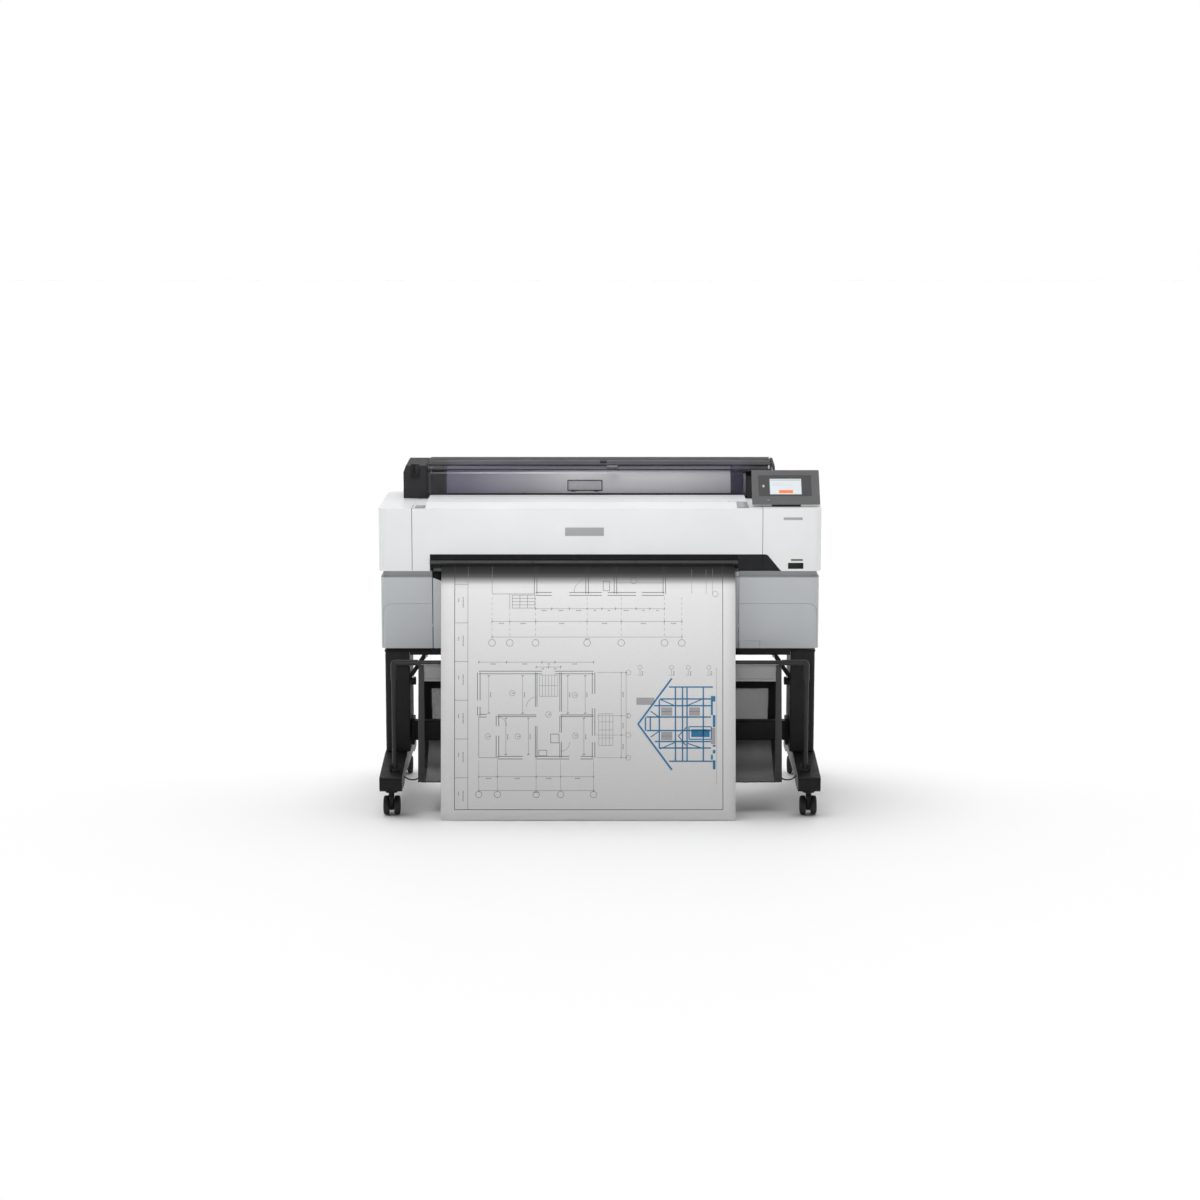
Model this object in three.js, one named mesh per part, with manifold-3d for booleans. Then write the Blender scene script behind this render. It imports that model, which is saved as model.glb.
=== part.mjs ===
// Large format plotter on a wheeled stand, with a paper basket and a printed sheet hanging from its exit.
// Units are millimetres. +X is the operator's right (control panel side), the front faces -Y, +Z is up.
// The origin lies on the floor, under the middle of the bounding box.
import * as THREE from 'three';
import { mergeVertices } from 'three/addons/utils/BufferGeometryUtils.js';
import Module from 'manifold-3d';

const wasm = await Module();
wasm.setup();

// ---- Driving dimensions -------------------------------------------------------------------------
const WIDTH = 1385; // over the white side covers
const FRONT = -190; // front face of the casing
const REAR = 267; // rear face of the casing
const SHEET_TOE = -390; // foremost point, the lower edge of the printed sheet
const FOOT_HEEL = 340; // rearmost point, the rear ends of the feet
const SIDE_TOP = 950; // top of the side covers
const COVER_TOP = 962; // raised top of the front cover
const LID_TOP = 1065; // top of the roll cover
const WAIST_TOP = 753; // underside of the white upper casing
const WAIST_BOTTOM = 733; // shoulder of the grey lower casing
const SKIRT_TOP = 650; // parting line of the ink door and the skirts
const CASE_BOTTOM = 508; // lower edge of the grey casing
const FRAME_BOTTOM = 481; // underside of the steel frame
const FRAME_TOP = 503;
const LEG_FOOT = 155; // where a column meets its foot

const WALL = 3; // moulded casing thickness
const GAP = 0.4; // clearance kept where two pieces touch
const HALF = WIDTH / 2;
const LOWER_HALF = 687; // half width of the grey lower casing
const SEAM_LEFT = -587; // seams of the white front
const SEAM_RIGHT = 508;
const SHEET_WIDTH = 914; // 36 inch media
const SHEET_MIDDLE = -36.5; // the paper path lies left of centre
const SHEET_LEFT = SHEET_MIDDLE - SHEET_WIDTH / 2;
const SHEET_RIGHT = SHEET_MIDDLE + SHEET_WIDTH / 2;
const SHEET_LEVEL = 771; // height of the sheet over the platen
const EXIT_LEFT = -532; // ends of the black exit bar
const EXIT_RIGHT = 432;

// ---- Finishes -----------------------------------------------------------------------------------
const FINISH = {
  white: { color: 0xe4e6e8, roughness: 0.45, metalness: 0 },
  grey: { color: 0xb0b6bb, roughness: 0.5, metalness: 0 },
  skirt: { color: 0x9fa6ab, roughness: 0.5, metalness: 0 },
  black: { color: 0x18181a, roughness: 0.45, metalness: 0 },
  panel: { color: 0x4a4b4e, roughness: 0.5, metalness: 0 },
  glass: { color: 0x2b2c2f, roughness: 0.1, metalness: 0 },
  smoke: { color: 0x6d6a78, roughness: 0.15, metalness: 0 },
  legs: { color: 0x1d1d1f, roughness: 0.55, metalness: 0.3 },
  rod: { color: 0x3f4042, roughness: 0.4, metalness: 0.5 },
  steel: { color: 0x9a9c9f, roughness: 0.4, metalness: 0.9 },
  tyre: { color: 0x26262a, roughness: 0.8, metalness: 0 },
  fabric: { color: 0x55565a, roughness: 0.95, metalness: 0 },
  paper: { color: 0xf2f2f0, roughness: 0.9, metalness: 0 },
};
const INK = { black: 0x202022, cyan: 0x1b8fc4, magenta: 0xb3296b, yellow: 0xe3c21f };

// ---- Building helpers ---------------------------------------------------------------------------
const plotter = new THREE.Group();
plotter.position.y = -(SHEET_TOE + FOOT_HEEL) / 2;

/** Adds one named sub-part to a parent group. */
function add(name, geometry, finish, parent = plotter) {
  const mesh = new THREE.Mesh(geometry, new THREE.MeshStandardMaterial(finish));
  mesh.name = name;
  parent.add(mesh);
  return mesh;
}

/** A closed outline through corners [a, b, radius]; the radius is optional and rounds that corner. */
function outline(corners, path = new THREE.Shape()) {
  const at = (i) => new THREE.Vector2(...corners[(i + corners.length) % corners.length].slice(0, 2));
  corners.forEach(([, , radius = 0], i) => {
    const corner = at(i);
    const toward = (other) => other.sub(corner).setLength(radius).add(corner);
    const start = radius ? toward(at(i - 1)) : corner;
    if (i === 0) path.moveTo(start.x, start.y);
    else path.lineTo(start.x, start.y);
    if (radius) {
      const end = toward(at(i + 1));
      path.quadraticCurveTo(corner.x, corner.y, end.x, end.y);
    }
  });
  path.closePath();
  return path;
}

/** A strip of even thickness below an open line of corners [a, b, radius]. */
function ribbon(corners, thickness) {
  const line = new THREE.CurvePath();
  let last = new THREE.Vector2(corners[0][0], corners[0][1]);
  corners.slice(1).forEach(([a, b, radius = 0], i) => {
    const corner = new THREE.Vector2(a, b);
    const next = corners[i + 2];
    if (!radius || !next) {
      line.add(new THREE.LineCurve(last, corner));
      last = corner;
      return;
    }
    const start = last.clone().sub(corner).setLength(radius).add(corner);
    const end = new THREE.Vector2(next[0], next[1]).sub(corner).setLength(radius).add(corner);
    line.add(new THREE.LineCurve(last, start));
    line.add(new THREE.QuadraticBezierCurve(start, corner, end));
    last = end;
  });
  const middle = line.getPoints(5).filter((p, i, all) => i === 0 || p.distanceTo(all[i - 1]) > 0.01);
  const side = (sign) => middle.map((p, i) => {
    const along = middle[Math.min(i + 1, middle.length - 1)].clone().sub(middle[Math.max(i - 1, 0)]);
    return new THREE.Vector2(-along.y, along.x).setLength((sign * thickness) / 2).add(p);
  });
  return new THREE.Shape([...side(1), ...side(-1).reverse()]);
}

/** Extrudes a shape: along x it lies in (y, z), along y in (x, z) and along z in (x, y). */
function extrude(shape, axis, from, to, curveSegments = 6) {
  const geometry = new THREE.ExtrudeGeometry(shape, { depth: to - from, bevelEnabled: false, curveSegments });
  const [X, Y, Z] = [new THREE.Vector3(1, 0, 0), new THREE.Vector3(0, 1, 0), new THREE.Vector3(0, 0, 1)];
  const turn = new THREE.Matrix4();
  if (axis === 'x') turn.makeBasis(Y, Z, X).setPosition(from, 0, 0);
  if (axis === 'y') turn.makeBasis(X, Z, Y.clone().negate()).setPosition(0, to, 0);
  if (axis === 'z') turn.makeBasis(X, Y, Z).setPosition(0, 0, from);
  return geometry.applyMatrix4(turn);
}

/** A box between two corners. */
function block([x0, x1], [y0, y1], [z0, z1]) {
  return new THREE.BoxGeometry(x1 - x0, y1 - y0, z1 - z0)
    .translate((x0 + x1) / 2, (y0 + y1) / 2, (z0 + z1) / 2);
}

/** A cylinder along an axis, centred on the two other coordinates. */
function round(axis, radius, [a, b], [from, to], segments = 20) {
  const geometry = new THREE.CylinderGeometry(radius, radius, to - from, segments);
  const middle = (from + to) / 2;
  if (axis === 'x') return geometry.rotateZ(Math.PI / 2).translate(middle, a, b);
  if (axis === 'y') return geometry.translate(a, middle, b);
  return geometry.rotateX(Math.PI / 2).translate(a, b, middle);
}

/** The manifold solid of a closed geometry. */
function solid(geometry) {
  const bare = geometry.clone();
  bare.deleteAttribute('normal');
  bare.deleteAttribute('uv');
  const merged = mergeVertices(bare, 1e-3);
  return new wasm.Manifold(new wasm.Mesh({
    numProp: 3,
    vertProperties: new Float32Array(merged.attributes.position.array),
    triVerts: new Uint32Array(merged.index.array),
  }));
}

/** Joins or cuts geometries with a boolean. */
function combine(method, first, rest) {
  const result = rest.reduce((whole, other) => whole[method](solid(other)), solid(first));
  const mesh = result.getMesh();
  const geometry = new THREE.BufferGeometry();
  geometry.setAttribute('position', new THREE.BufferAttribute(new Float32Array(mesh.vertProperties), 3));
  geometry.setIndex(new THREE.BufferAttribute(new Uint32Array(mesh.triVerts), 1));
  geometry.computeVertexNormals();
  return geometry;
}
const join = (first, ...rest) => combine('add', first, rest);
const cut = (first, ...rest) => combine('subtract', first, rest);
const meet = (first, ...rest) => combine('intersect', first, rest);

/** Runs a maker for both sides, with -1 for the left and 1 for the right. */
function bothSides(make) {
  make('left', -1);
  make('right', 1);
}

/** Orders a span measured outwards from the middle, on either side. */
function span(side, inner, outer) {
  return side < 0 ? [-outer, -inner] : [inner, outer];
}

// ---- Stand: columns, feet, crossbeam, braces ----------------------------------------------------
const LEG_INNER = 606; // inner face of the columns
const LEG_OUTER = 684;
const FOOT_MIDDLE = 651; // centre line of the feet and casters
const FOOT_WIDTH = 70;
const BEAM_DEPTH = [0, 42];
const BEAM_HEIGHT = [172, 236];
const ROD_PLANE = -282;
const ROD_HALF = 643; // to the centre of the basket's upright tubes
const PIVOT = { z: 148, pin: 3.5, reach: 14 }; // basket pivot on each foot

function makeStand() {
  const column = outline([
    [LEG_INNER, -92, 4], [LEG_OUTER, -92, 14], [LEG_OUTER, 92, 14], [LEG_INNER, 92, 4],
  ]);
  column.holes.push(outline([
    [LEG_INNER + WALL, -92 + WALL], [LEG_OUTER - WALL, -92 + WALL, 11], [LEG_OUTER - WALL, 92 - WALL, 11],
    [LEG_INNER + WALL, 92 - WALL],
  ], new THREE.Path()));
  const foot = outline([
    [-350, 127, 8], [-350, 90], [-341, 82], [-240, 82, 20], [-170, 98, 30], [190, 98, 30], [245, 82, 20],
    [332, 82], [FOOT_HEEL, 90], [FOOT_HEEL, 118, 8], [110, 128, 30], [96, LEG_FOOT], [-96, LEG_FOOT, 30],
  ]);
  bothSides((side, sign) => {
    const post = extrude(column, 'z', LEG_FOOT + GAP, FRAME_BOTTOM - GAP);
    add(`${side}_leg`, sign < 0 ? mirrorX(post) : post, FINISH.legs);
    const [inner, outer] = span(sign, FOOT_MIDDLE - FOOT_WIDTH / 2, FOOT_MIDDLE + FOOT_WIDTH / 2);
    const ears = [-12, 12].map((offset) => {
      const middle = sign * ROD_HALF + offset;
      return block([middle - 2.5, middle + 2.5], [ROD_PLANE - 9, ROD_PLANE + 9], [130, PIVOT.z + 8]);
    });
    const bore = round('x', PIVOT.pin + GAP, [ROD_PLANE, PIVOT.z], [inner - 1, outer + 1], 16);
    const pocket = block([inner + 5, outer - 5], [-200, 230], [90, 122]);
    add(`${side}_foot`, cut(join(extrude(foot, 'x', inner, outer), ...ears), bore, pocket), FINISH.legs);
    add(`${side}_brace`, braceBar(sign), FINISH.black);
    add(`${side}_bag_hook`, bagHook(sign), FINISH.rod);
  });
  const section = outline([
    [BEAM_DEPTH[0], BEAM_HEIGHT[0], 6], [BEAM_DEPTH[0], BEAM_HEIGHT[1], 6],
    [BEAM_DEPTH[1], BEAM_HEIGHT[1], 6], [BEAM_DEPTH[1], BEAM_HEIGHT[0], 6],
  ]);
  const reach = LEG_INNER - GAP;
  const flange = (sign) => block(span(sign, reach - 8, reach), [-10, 52], [160, 246]);
  const beam = extrude(section, 'x', -reach + 4, reach - 4, 3);
  add('crossbeam', join(beam, flange(-1), flange(1)), FINISH.legs);
}

/** Mirrors a closed geometry in x and keeps its faces pointing out. */
function mirrorX(geometry) {
  const mirrored = geometry.clone().scale(-1, 1, 1);
  const flat = mirrored.index ? mirrored.toNonIndexed() : mirrored;
  const corners = flat.attributes.position;
  for (let i = 0; i < corners.count; i += 3) {
    const [x, y, z] = [corners.getX(i), corners.getY(i), corners.getZ(i)];
    corners.setXYZ(i, corners.getX(i + 1), corners.getY(i + 1), corners.getZ(i + 1));
    corners.setXYZ(i + 1, x, y, z);
  }
  flat.computeVertexNormals();
  return flat;
}

/** A slanting bar from under the frame to the inner face of a column, with its clamp knob. */
function braceBar(sign) {
  const face = LEG_INNER - GAP;
  const bar = outline([[556, FRAME_BOTTOM - GAP], [face, 404], [face, 378], [596, 378], [596, 396],
    [538, FRAME_BOTTOM - GAP]]);
  const plate = extrude(bar, 'y', -68, -54);
  const knob = round('x', 13, [-61, 380], [588, face - 2], 16);
  const right = join(plate, knob);
  return sign < 0 ? mirrorX(right) : right;
}

/** A wire hook from the foot to the bottom corner of the basket. */
function bagHook(sign) {
  const start = sign * (FOOT_MIDDLE - FOOT_WIDTH / 2 - 2);
  const route = new THREE.CatmullRomCurve3([
    new THREE.Vector3(start, -262, 112),
    new THREE.Vector3(start - sign * 14, -262, 103),
    new THREE.Vector3(start - sign * 34, -262, 102),
    new THREE.Vector3(start - sign * 50, -262, 110),
  ]);
  const wire = new THREE.Shape().absarc(0, 0, 2.2, 0, Math.PI * 2);
  const settings = { steps: 8, bevelEnabled: false, extrudePath: route, curveSegments: 4 };
  return new THREE.ExtrudeGeometry(wire, settings);
}

// ---- Casters: twin wheels under each end of the feet --------------------------------------------
const WHEEL_RADIUS = 29.5;
const CASTER_TRAIL = 18; // axle behind the swivel axis
const CASTER_ENDS = { front: { swivel: -316, toward: 1 }, rear: { swivel: 310, toward: -1 } };
const FORK_HALF = 5.6;
const AXLE_RADIUS = 4;

function makeCasters() {
  const wheelset = new THREE.LatheGeometry([
    [0, -26.3], [23, -26.3], [WHEEL_RADIUS, -21], [WHEEL_RADIUS, -12], [26, -8.3], [AXLE_RADIUS, -8.3],
    [AXLE_RADIUS, 8.3], [26, 8.3], [WHEEL_RADIUS, 12], [WHEEL_RADIUS, 21], [23, 26.3], [0, 26.3],
  ].map(([r, along]) => new THREE.Vector2(r, along)), 20).rotateZ(Math.PI / 2);
  for (const [end, { swivel, toward }] of Object.entries(CASTER_ENDS)) {
    bothSides((side, sign) => {
      const x = sign * FOOT_MIDDLE;
      const axle = swivel + toward * CASTER_TRAIL;
      const caster = new THREE.Group();
      caster.position.set(x, 0, 0);
      plotter.add(caster);
      add(`${end}_${side}_caster_fork`, casterFork(swivel, axle, toward), FINISH.black, caster);
      const wheels = add(`${end}_${side}_caster_wheels`, wheelset.clone(), FINISH.tyre, caster);
      wheels.position.set(0, axle, WHEEL_RADIUS);
    });
  }
}

/** The hood between two wheels, with the swivel stem on top and a hole for the axle. */
function casterFork(swivel, axle, toward) {
  const hood = outline([
    [swivel - toward * 12, 66, 3], [swivel - toward * 12, 50, 10], [axle - toward * 16, 14, 12],
    [axle + toward * 20, 14, 16], [axle + toward * 21, 52, 16], [swivel + toward * 12, 66, 5],
  ]);
  const web = extrude(hood, 'x', -FORK_HALF, FORK_HALF, 4);
  const stem = round('z', 9, [0, swivel], [60, 76], 16);
  const plate = round('z', 19, [0, swivel], [75, 82 - GAP], 20);
  const bore = round('x', AXLE_RADIUS + 0.5, [axle, WHEEL_RADIUS], [-FORK_HALF - 1, FORK_HALF + 1], 20);
  return cut(join(web, stem, plate), bore);
}

// ---- Basket: swinging rod frame, front band with straps, bag ------------------------------------
const ROD_TOP = 479;
const ROD_FOOT = PIVOT.z - 8;
const ROD_RADIUS = 7;
const STRAP_HALF = [544, 562];
const BAG_HALF = 558;
const BAG_HEM = 96;
const BAND_FOOT = 419;

function makeBasket() {
  const corner = ROD_HALF - 1;
  const top = round('x', ROD_RADIUS, [ROD_PLANE, ROD_TOP], [-corner, corner], 16);
  const sides = [-1, 1].flatMap((sign) => [
    round('z', ROD_RADIUS, [sign * ROD_HALF, ROD_PLANE], [ROD_FOOT, ROD_TOP - 4], 16),
    round('z', 9, [sign * ROD_HALF, ROD_PLANE], [422, ROD_TOP - 4], 16),
    round('x', 9, [ROD_PLANE, ROD_TOP], span(sign, 566, ROD_HALF - 3), 16),
    new THREE.SphereGeometry(9.6, 14, 10).translate(sign * (ROD_HALF - 2), ROD_PLANE, ROD_TOP - 2),
    round('x', PIVOT.pin, [ROD_PLANE, PIVOT.z],
      span(sign, ROD_HALF - PIVOT.reach, ROD_HALF + PIVOT.reach), 16),
  ]);
  add('basket_rod', join(top, ...sides), FINISH.rod);

  const reach = STRAP_HALF[1];
  const band = block([-reach, reach], [ROD_PLANE - 1.5, ROD_PLANE + 1.5], [BAND_FOOT, ROD_TOP - 7.5]);
  const straps = [-1, 1].map((sign) => block(
    span(sign, ...STRAP_HALF), [ROD_PLANE - 1.5, ROD_PLANE + 1.5], [BAG_HEM + 2, BAND_FOOT + 1],
  ));
  add('basket_front', join(band, ...straps), FINISH.fabric);

  const bag = ribbon([
    [ROD_PLANE + 6, BAG_HEM], [-90, BAG_HEM + 6, 60], [70, 128, 36], [120, 190, 36], [146, 372],
  ], 2.4);
  add('basket_bag', extrude(bag, 'x', -BAG_HALF, BAG_HALF), FINISH.fabric);
}

// ---- Steel frame and grey lower casing ----------------------------------------------------------
const INSET = 7; // the waist is set back this far
const DOOR = { left: -680, right: -525.5, radius: 34 };
const SKIRT = { left: 436, right: 680, radius: 34 };
const DRAWER = { left: 437.5, right: 502, bottom: CASE_BOTTOM, top: 531 };
const CENTRE = { left: -523, right: 434.5 };

function makeFrame() {
  const sheet = 2.5;
  const tray = block([-600, 600], [-158, 250], [FRAME_BOTTOM, FRAME_TOP]);
  const below = block([-600 + sheet, 600 - sheet], [-158 + sheet, 250 - sheet],
    [FRAME_BOTTOM - 1, FRAME_TOP - sheet]);
  const cheeks = [-1, 1].map((sign) => block(span(sign, 590, 593), [-20, 230], [FRAME_TOP - 1, 925]));
  const pads = [-1, 1].map((sign) => block(span(sign, 596, LEG_OUTER), [-100, 100], [FRAME_BOTTOM, 486]));
  add('main_frame', join(cut(tray, below), ...cheeks, ...pads), FINISH.steel);
}

/** A wrap-round casing wall between two heights: front, one end and back, open towards the middle. */
function cornerWall(sign, inner, half, [z0, z1], inset) {
  const corners = (margin) => {
    const end = half - inset - margin;
    return [
      [inner - margin * 2, FRONT + inset + margin], [end, FRONT + inset + margin, 24],
      [end, REAR - inset - margin, 24], [inner - margin * 2, REAR - inset - margin],
    ];
  };
  const outer = extrude(outline(corners(0)), 'z', z0, z1, 5);
  const hollow = extrude(outline(corners(WALL)), 'z', z0 - 1, z1 + 1, 5);
  const right = cut(outer, hollow);
  return sign < 0 ? mirrorX(right) : right;
}

/** The space of a skirt panel with a rounded top outer corner, grown by a margin, through the front wall. */
function skirtSpace({ left, right, radius }, sign, margin = 0) {
  const [outerX, innerX] = sign < 0 ? [left - margin, right + margin] : [right + margin, left - margin];
  const shape = outline([
    [outerX, CASE_BOTTOM - margin * 4], [outerX, SKIRT_TOP + margin, radius], [innerX, SKIRT_TOP + margin],
    [innerX, CASE_BOTTOM - margin * 4],
  ]);
  return extrude(shape, 'y', FRONT - 5, FRONT + 20, 8);
}

function makeLowerCasing() {
  const tall = [CASE_BOTTOM, WAIST_BOTTOM];
  const neck = [WAIST_BOTTOM - 4, WAIST_TOP - GAP];
  const leftInner = -DOOR.right;
  const rightInner = SKIRT.left;
  const leftWall = cornerWall(-1, leftInner, LOWER_HALF, tall, 0);
  const leftNeck = cornerWall(-1, leftInner, LOWER_HALF, neck, INSET);
  const left = join(leftWall, leftNeck, mirrorX(shoulder(leftInner)));
  add('lower_left_cover', cut(left, skirtSpace(DOOR, -1, 0.6)), FINISH.grey);

  const rightWall = cornerWall(1, rightInner, LOWER_HALF, tall, 0);
  const rightNeck = cornerWall(1, rightInner, LOWER_HALF, neck, INSET);
  const right = join(rightWall, rightNeck, shoulder(rightInner));
  add('lower_right_cover', cut(right, skirtSpace(SKIRT, 1, 0.6)), FINISH.grey);

  const { left: cx0, right: cx1 } = CENTRE;
  const front = block([cx0, cx1], [FRONT, FRONT + WALL], tall);
  const top = block([cx0, cx1], [FRONT, FRONT + 14], [WAIST_BOTTOM - WALL, WAIST_BOTTOM]);
  const foot = block([cx0, cx1], [FRONT, FRONT + 14], [CASE_BOTTOM, CASE_BOTTOM + WALL]);
  add('lower_center_cover', join(front, top, foot), FINISH.grey);
  const sill = outline([
    [FRONT + INSET, WAIST_BOTTOM + GAP], [FRONT + INSET, WAIST_TOP - 3, 3], [-150, WAIST_TOP + 3],
    [-150, WAIST_BOTTOM + GAP],
  ]);
  add('exit_sill', extrude(sill, 'x', cx0, cx1), FINISH.grey);

  const ribs = [-650, -600, -550].map((x) => block([x - 1, x + 1], [FRONT + 2, FRONT + 8], [530, 630]));
  add('ink_door', join(meet(leftWall, skirtSpace(DOOR, -1)), ...ribs), FINISH.skirt);

  const drawerHole = block([DRAWER.left - 0.6, DRAWER.right + 0.6], [FRONT - 2, FRONT + 6],
    [DRAWER.bottom - 2, DRAWER.top + 0.6]);
  add('right_skirt', cut(meet(rightWall, skirtSpace(SKIRT, 1)), drawerHole), FINISH.skirt);

  const face = block([DRAWER.left, DRAWER.right], [FRONT, FRONT + WALL], [DRAWER.bottom, DRAWER.top]);
  const tray = block([DRAWER.left + 4, DRAWER.right - 4], [FRONT + 2, -30], [511, 528]);
  const felt = block([DRAWER.left + 8, DRAWER.right - 8], [FRONT + 12, -38], [516, 530]);
  add('maintenance_box', cut(join(face, tray), felt), FINISH.skirt);
}

/** The ledge between the waist and the lower casing. */
function shoulder(inner) {
  const ledge = [WAIST_BOTTOM - WALL, WAIST_BOTTOM];
  const corners = [
    [inner, FRONT], [LOWER_HALF, FRONT, 24], [LOWER_HALF, REAR, 24], [inner, REAR],
  ];
  const trim = (margin) => outline([
    [inner - margin, FRONT + margin], [LOWER_HALF - margin, FRONT + margin, 20],
    [LOWER_HALF - margin, REAR - margin, 20], [inner - margin, REAR - margin],
  ]);
  return cut(extrude(outline(corners), 'z', ...ledge, 5), extrude(trim(INSET + WALL), 'z', 700, 760, 5));
}

function makeInk() {
  const pitch = 33;
  const bottom = FRAME_TOP + GAP;
  Object.entries(INK).forEach(([name, color], i) => {
    const left = -664 + i * pitch;
    const shell = outline([[-176, bottom], [-176, 628, 6], [-60, 628], [-60, bottom]]);
    const body = extrude(shell, 'x', left, left + 28);
    const nose = block([left + 8, left + 20], [-179, -170], [560, 600]);
    add(`ink_cartridge_${name}`, join(body, nose), { ...FINISH.black, color });
  });
}

// ---- White upper casing -------------------------------------------------------------------------
const COVER_HINGE = { y: 66, z: 958 };
const SLOPE_END = -127; // the sloping front band meets the flat top here
const RAISED = [-545, 462]; // width of the raised top
const CUT_CORNER = [[523, 806, 8], [566, 753, 10]]; // slanted lower edge of the right cover

/** A side cover: closed outside, on top, in front and behind, open below and towards the middle. */
function sideCover(inner) {
  const body = (margin, z0, z1) => extrude(outline([
    [inner - margin * 2, FRONT + margin], [HALF - margin, FRONT + margin, 25 - margin],
    [HALF - margin, REAR - margin, 40 - margin], [inner - margin * 2, REAR - margin],
  ]), 'z', z0, z1, 6);
  return cut(body(0, WAIST_TOP, SIDE_TOP), body(WALL, WAIST_TOP - 1, SIDE_TOP - WALL));
}

function makeSideCovers() {
  add('left_side_cover', mirrorX(sideCover(-SEAM_LEFT)), FINISH.white);
  const [[slantX, slantZ], [toeX, toeZ]] = CUT_CORNER;
  const notch = outline([[480, 740], [480, slantZ], [slantX, slantZ, 8], [toeX, toeZ, 14], [590, 740]]);
  const shelf = block([RAISED[1] + 4, SEAM_RIGHT + GAP + 2], [-176, COVER_HINGE.y + 5],
    [SIDE_TOP - WALL, SIDE_TOP]);
  const deckSpace = block([500, -SEAM_LEFT], [COVER_HINGE.y + 5, REAR + 1], [WAIST_TOP - 1, SIDE_TOP + 1]);
  const lowerEdge = extrude(notch, 'y', FRONT - 2, FRONT + 12, 6);
  const cover = cut(sideCover(SEAM_RIGHT + GAP), lowerEdge, deckSpace);
  add('right_side_cover', join(cover, shelf), FINISH.white);
  const infill = outline([
    [SEAM_RIGHT + 0.6, 757], [SEAM_RIGHT + 0.6, slantZ - 0.6], [slantX - 0.6, slantZ - 0.6, 8],
    [toeX - 5, 757],
  ]);
  add('recess_panel', extrude(infill, 'y', FRONT + 0.8, FRONT + 4, 6), FINISH.black);
}

function makeFrontCover() {
  const bottom = 806;
  const whole = [SEAM_LEFT + GAP, SEAM_RIGHT - GAP];
  const section = (margin, top, slope) => outline([
    [FRONT + margin, bottom - margin], [FRONT + margin, SIDE_TOP - margin], ...slope,
    [COVER_HINGE.y + margin, top - margin], [COVER_HINGE.y + margin, bottom - margin],
  ]);
  const high = (margin) => section(margin, COVER_TOP, [[SLOPE_END, COVER_TOP - margin]]);
  const low = (margin) => section(margin, SIDE_TOP, []);
  const leg = block([whole[0], EXIT_LEFT], [FRONT, FRONT + WALL], [WAIST_TOP, bottom + 2]);
  const shell = join(extrude(low(0), 'x', ...whole), extrude(high(0), 'x', ...RAISED), leg);
  const panelSpace = block([RAISED[1], SEAM_RIGHT], [FRONT + 9, COVER_HINGE.y + 1], [bottom - 5, COVER_TOP]);
  add('front_cover', cut(
    shell,
    extrude(low(WALL), 'x', whole[0] - 1, whole[1] + 1),
    extrude(high(WALL), 'x', RAISED[0] + WALL, RAISED[1] - WALL),
    panelSpace,
  ), FINISH.white);

  const bar = outline([
    [-172, 805.4], [-186.6, 805.4], [-190, 792], [-202, 789, 4], [-204, 779, 4], [-198, 774, 3],
    [-172, 776],
  ]);
  add('exit_bar', extrude(bar, 'x', EXIT_LEFT + GAP, EXIT_RIGHT - GAP, 4), FINISH.black);
  const cap = outline([[EXIT_RIGHT, 757], [EXIT_RIGHT, 805.4], [SEAM_RIGHT - 0.2, 805.4],
    [SEAM_RIGHT - 0.2, 757]]);
  add('cover_end_cap', extrude(cap, 'y', FRONT + 0.8, FRONT + 4), FINISH.black);
}

// ---- Roll deck: rear cover, housings, lid, media roll -------------------------------------------
const ROLL_AXIS = [168, 975];
const ROLL_RADIUS = 70;
const SPINDLE = 20; // radius of the adapter ends in the housings
const LID = { left: -553, window: 466, right: 552, front: 80 };
const HOUSING_LEFT = [-631, -557];
const HOUSING_RIGHT = [470, 549];
const DECK = SIDE_TOP - 4;

function makeRearCover() {
  const wide = -SEAM_LEFT - GAP * 2;
  const back = [[REAR - 3, DECK, 5], [REAR - 3, WAIST_TOP + 4]];
  const trough = ribbon([
    [72, DECK], [84, DECK, 4], [92, 898, 20], [244, 898, 20], [252, DECK, 4], ...back,
  ], WALL);
  const deck = ribbon([[72, DECK], ...back], WALL);
  const wall = outline([[83, DECK], [91, 898, 20], [245, 898, 20], [253, DECK]]);
  const ends = [HOUSING_LEFT[1] + 1, HOUSING_RIGHT[1] + 1];
  add('rear_cover', join(
    extrude(trough, 'x', ...ends),
    extrude(deck, 'x', -wide, ends[0] + 1),
    extrude(deck, 'x', ends[1] - 1, wide),
    extrude(wall, 'x', ends[0], ends[0] + WALL),
    extrude(wall, 'x', ends[1] - WALL, ends[1]),
    block([DOOR.right + GAP, SKIRT.left - GAP], [REAR - WALL, REAR], [CASE_BOTTOM, WAIST_TOP + 10]),
  ), FINISH.white);
  const socket = block([598, 630], [REAR + GAP, REAR + 3.5], [790, 814]);
  const pins = block([602, 626], [REAR + 1.5, REAR + 5], [793, 811]);
  add('power_inlet', cut(socket, pins), FINISH.black);
}

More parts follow.
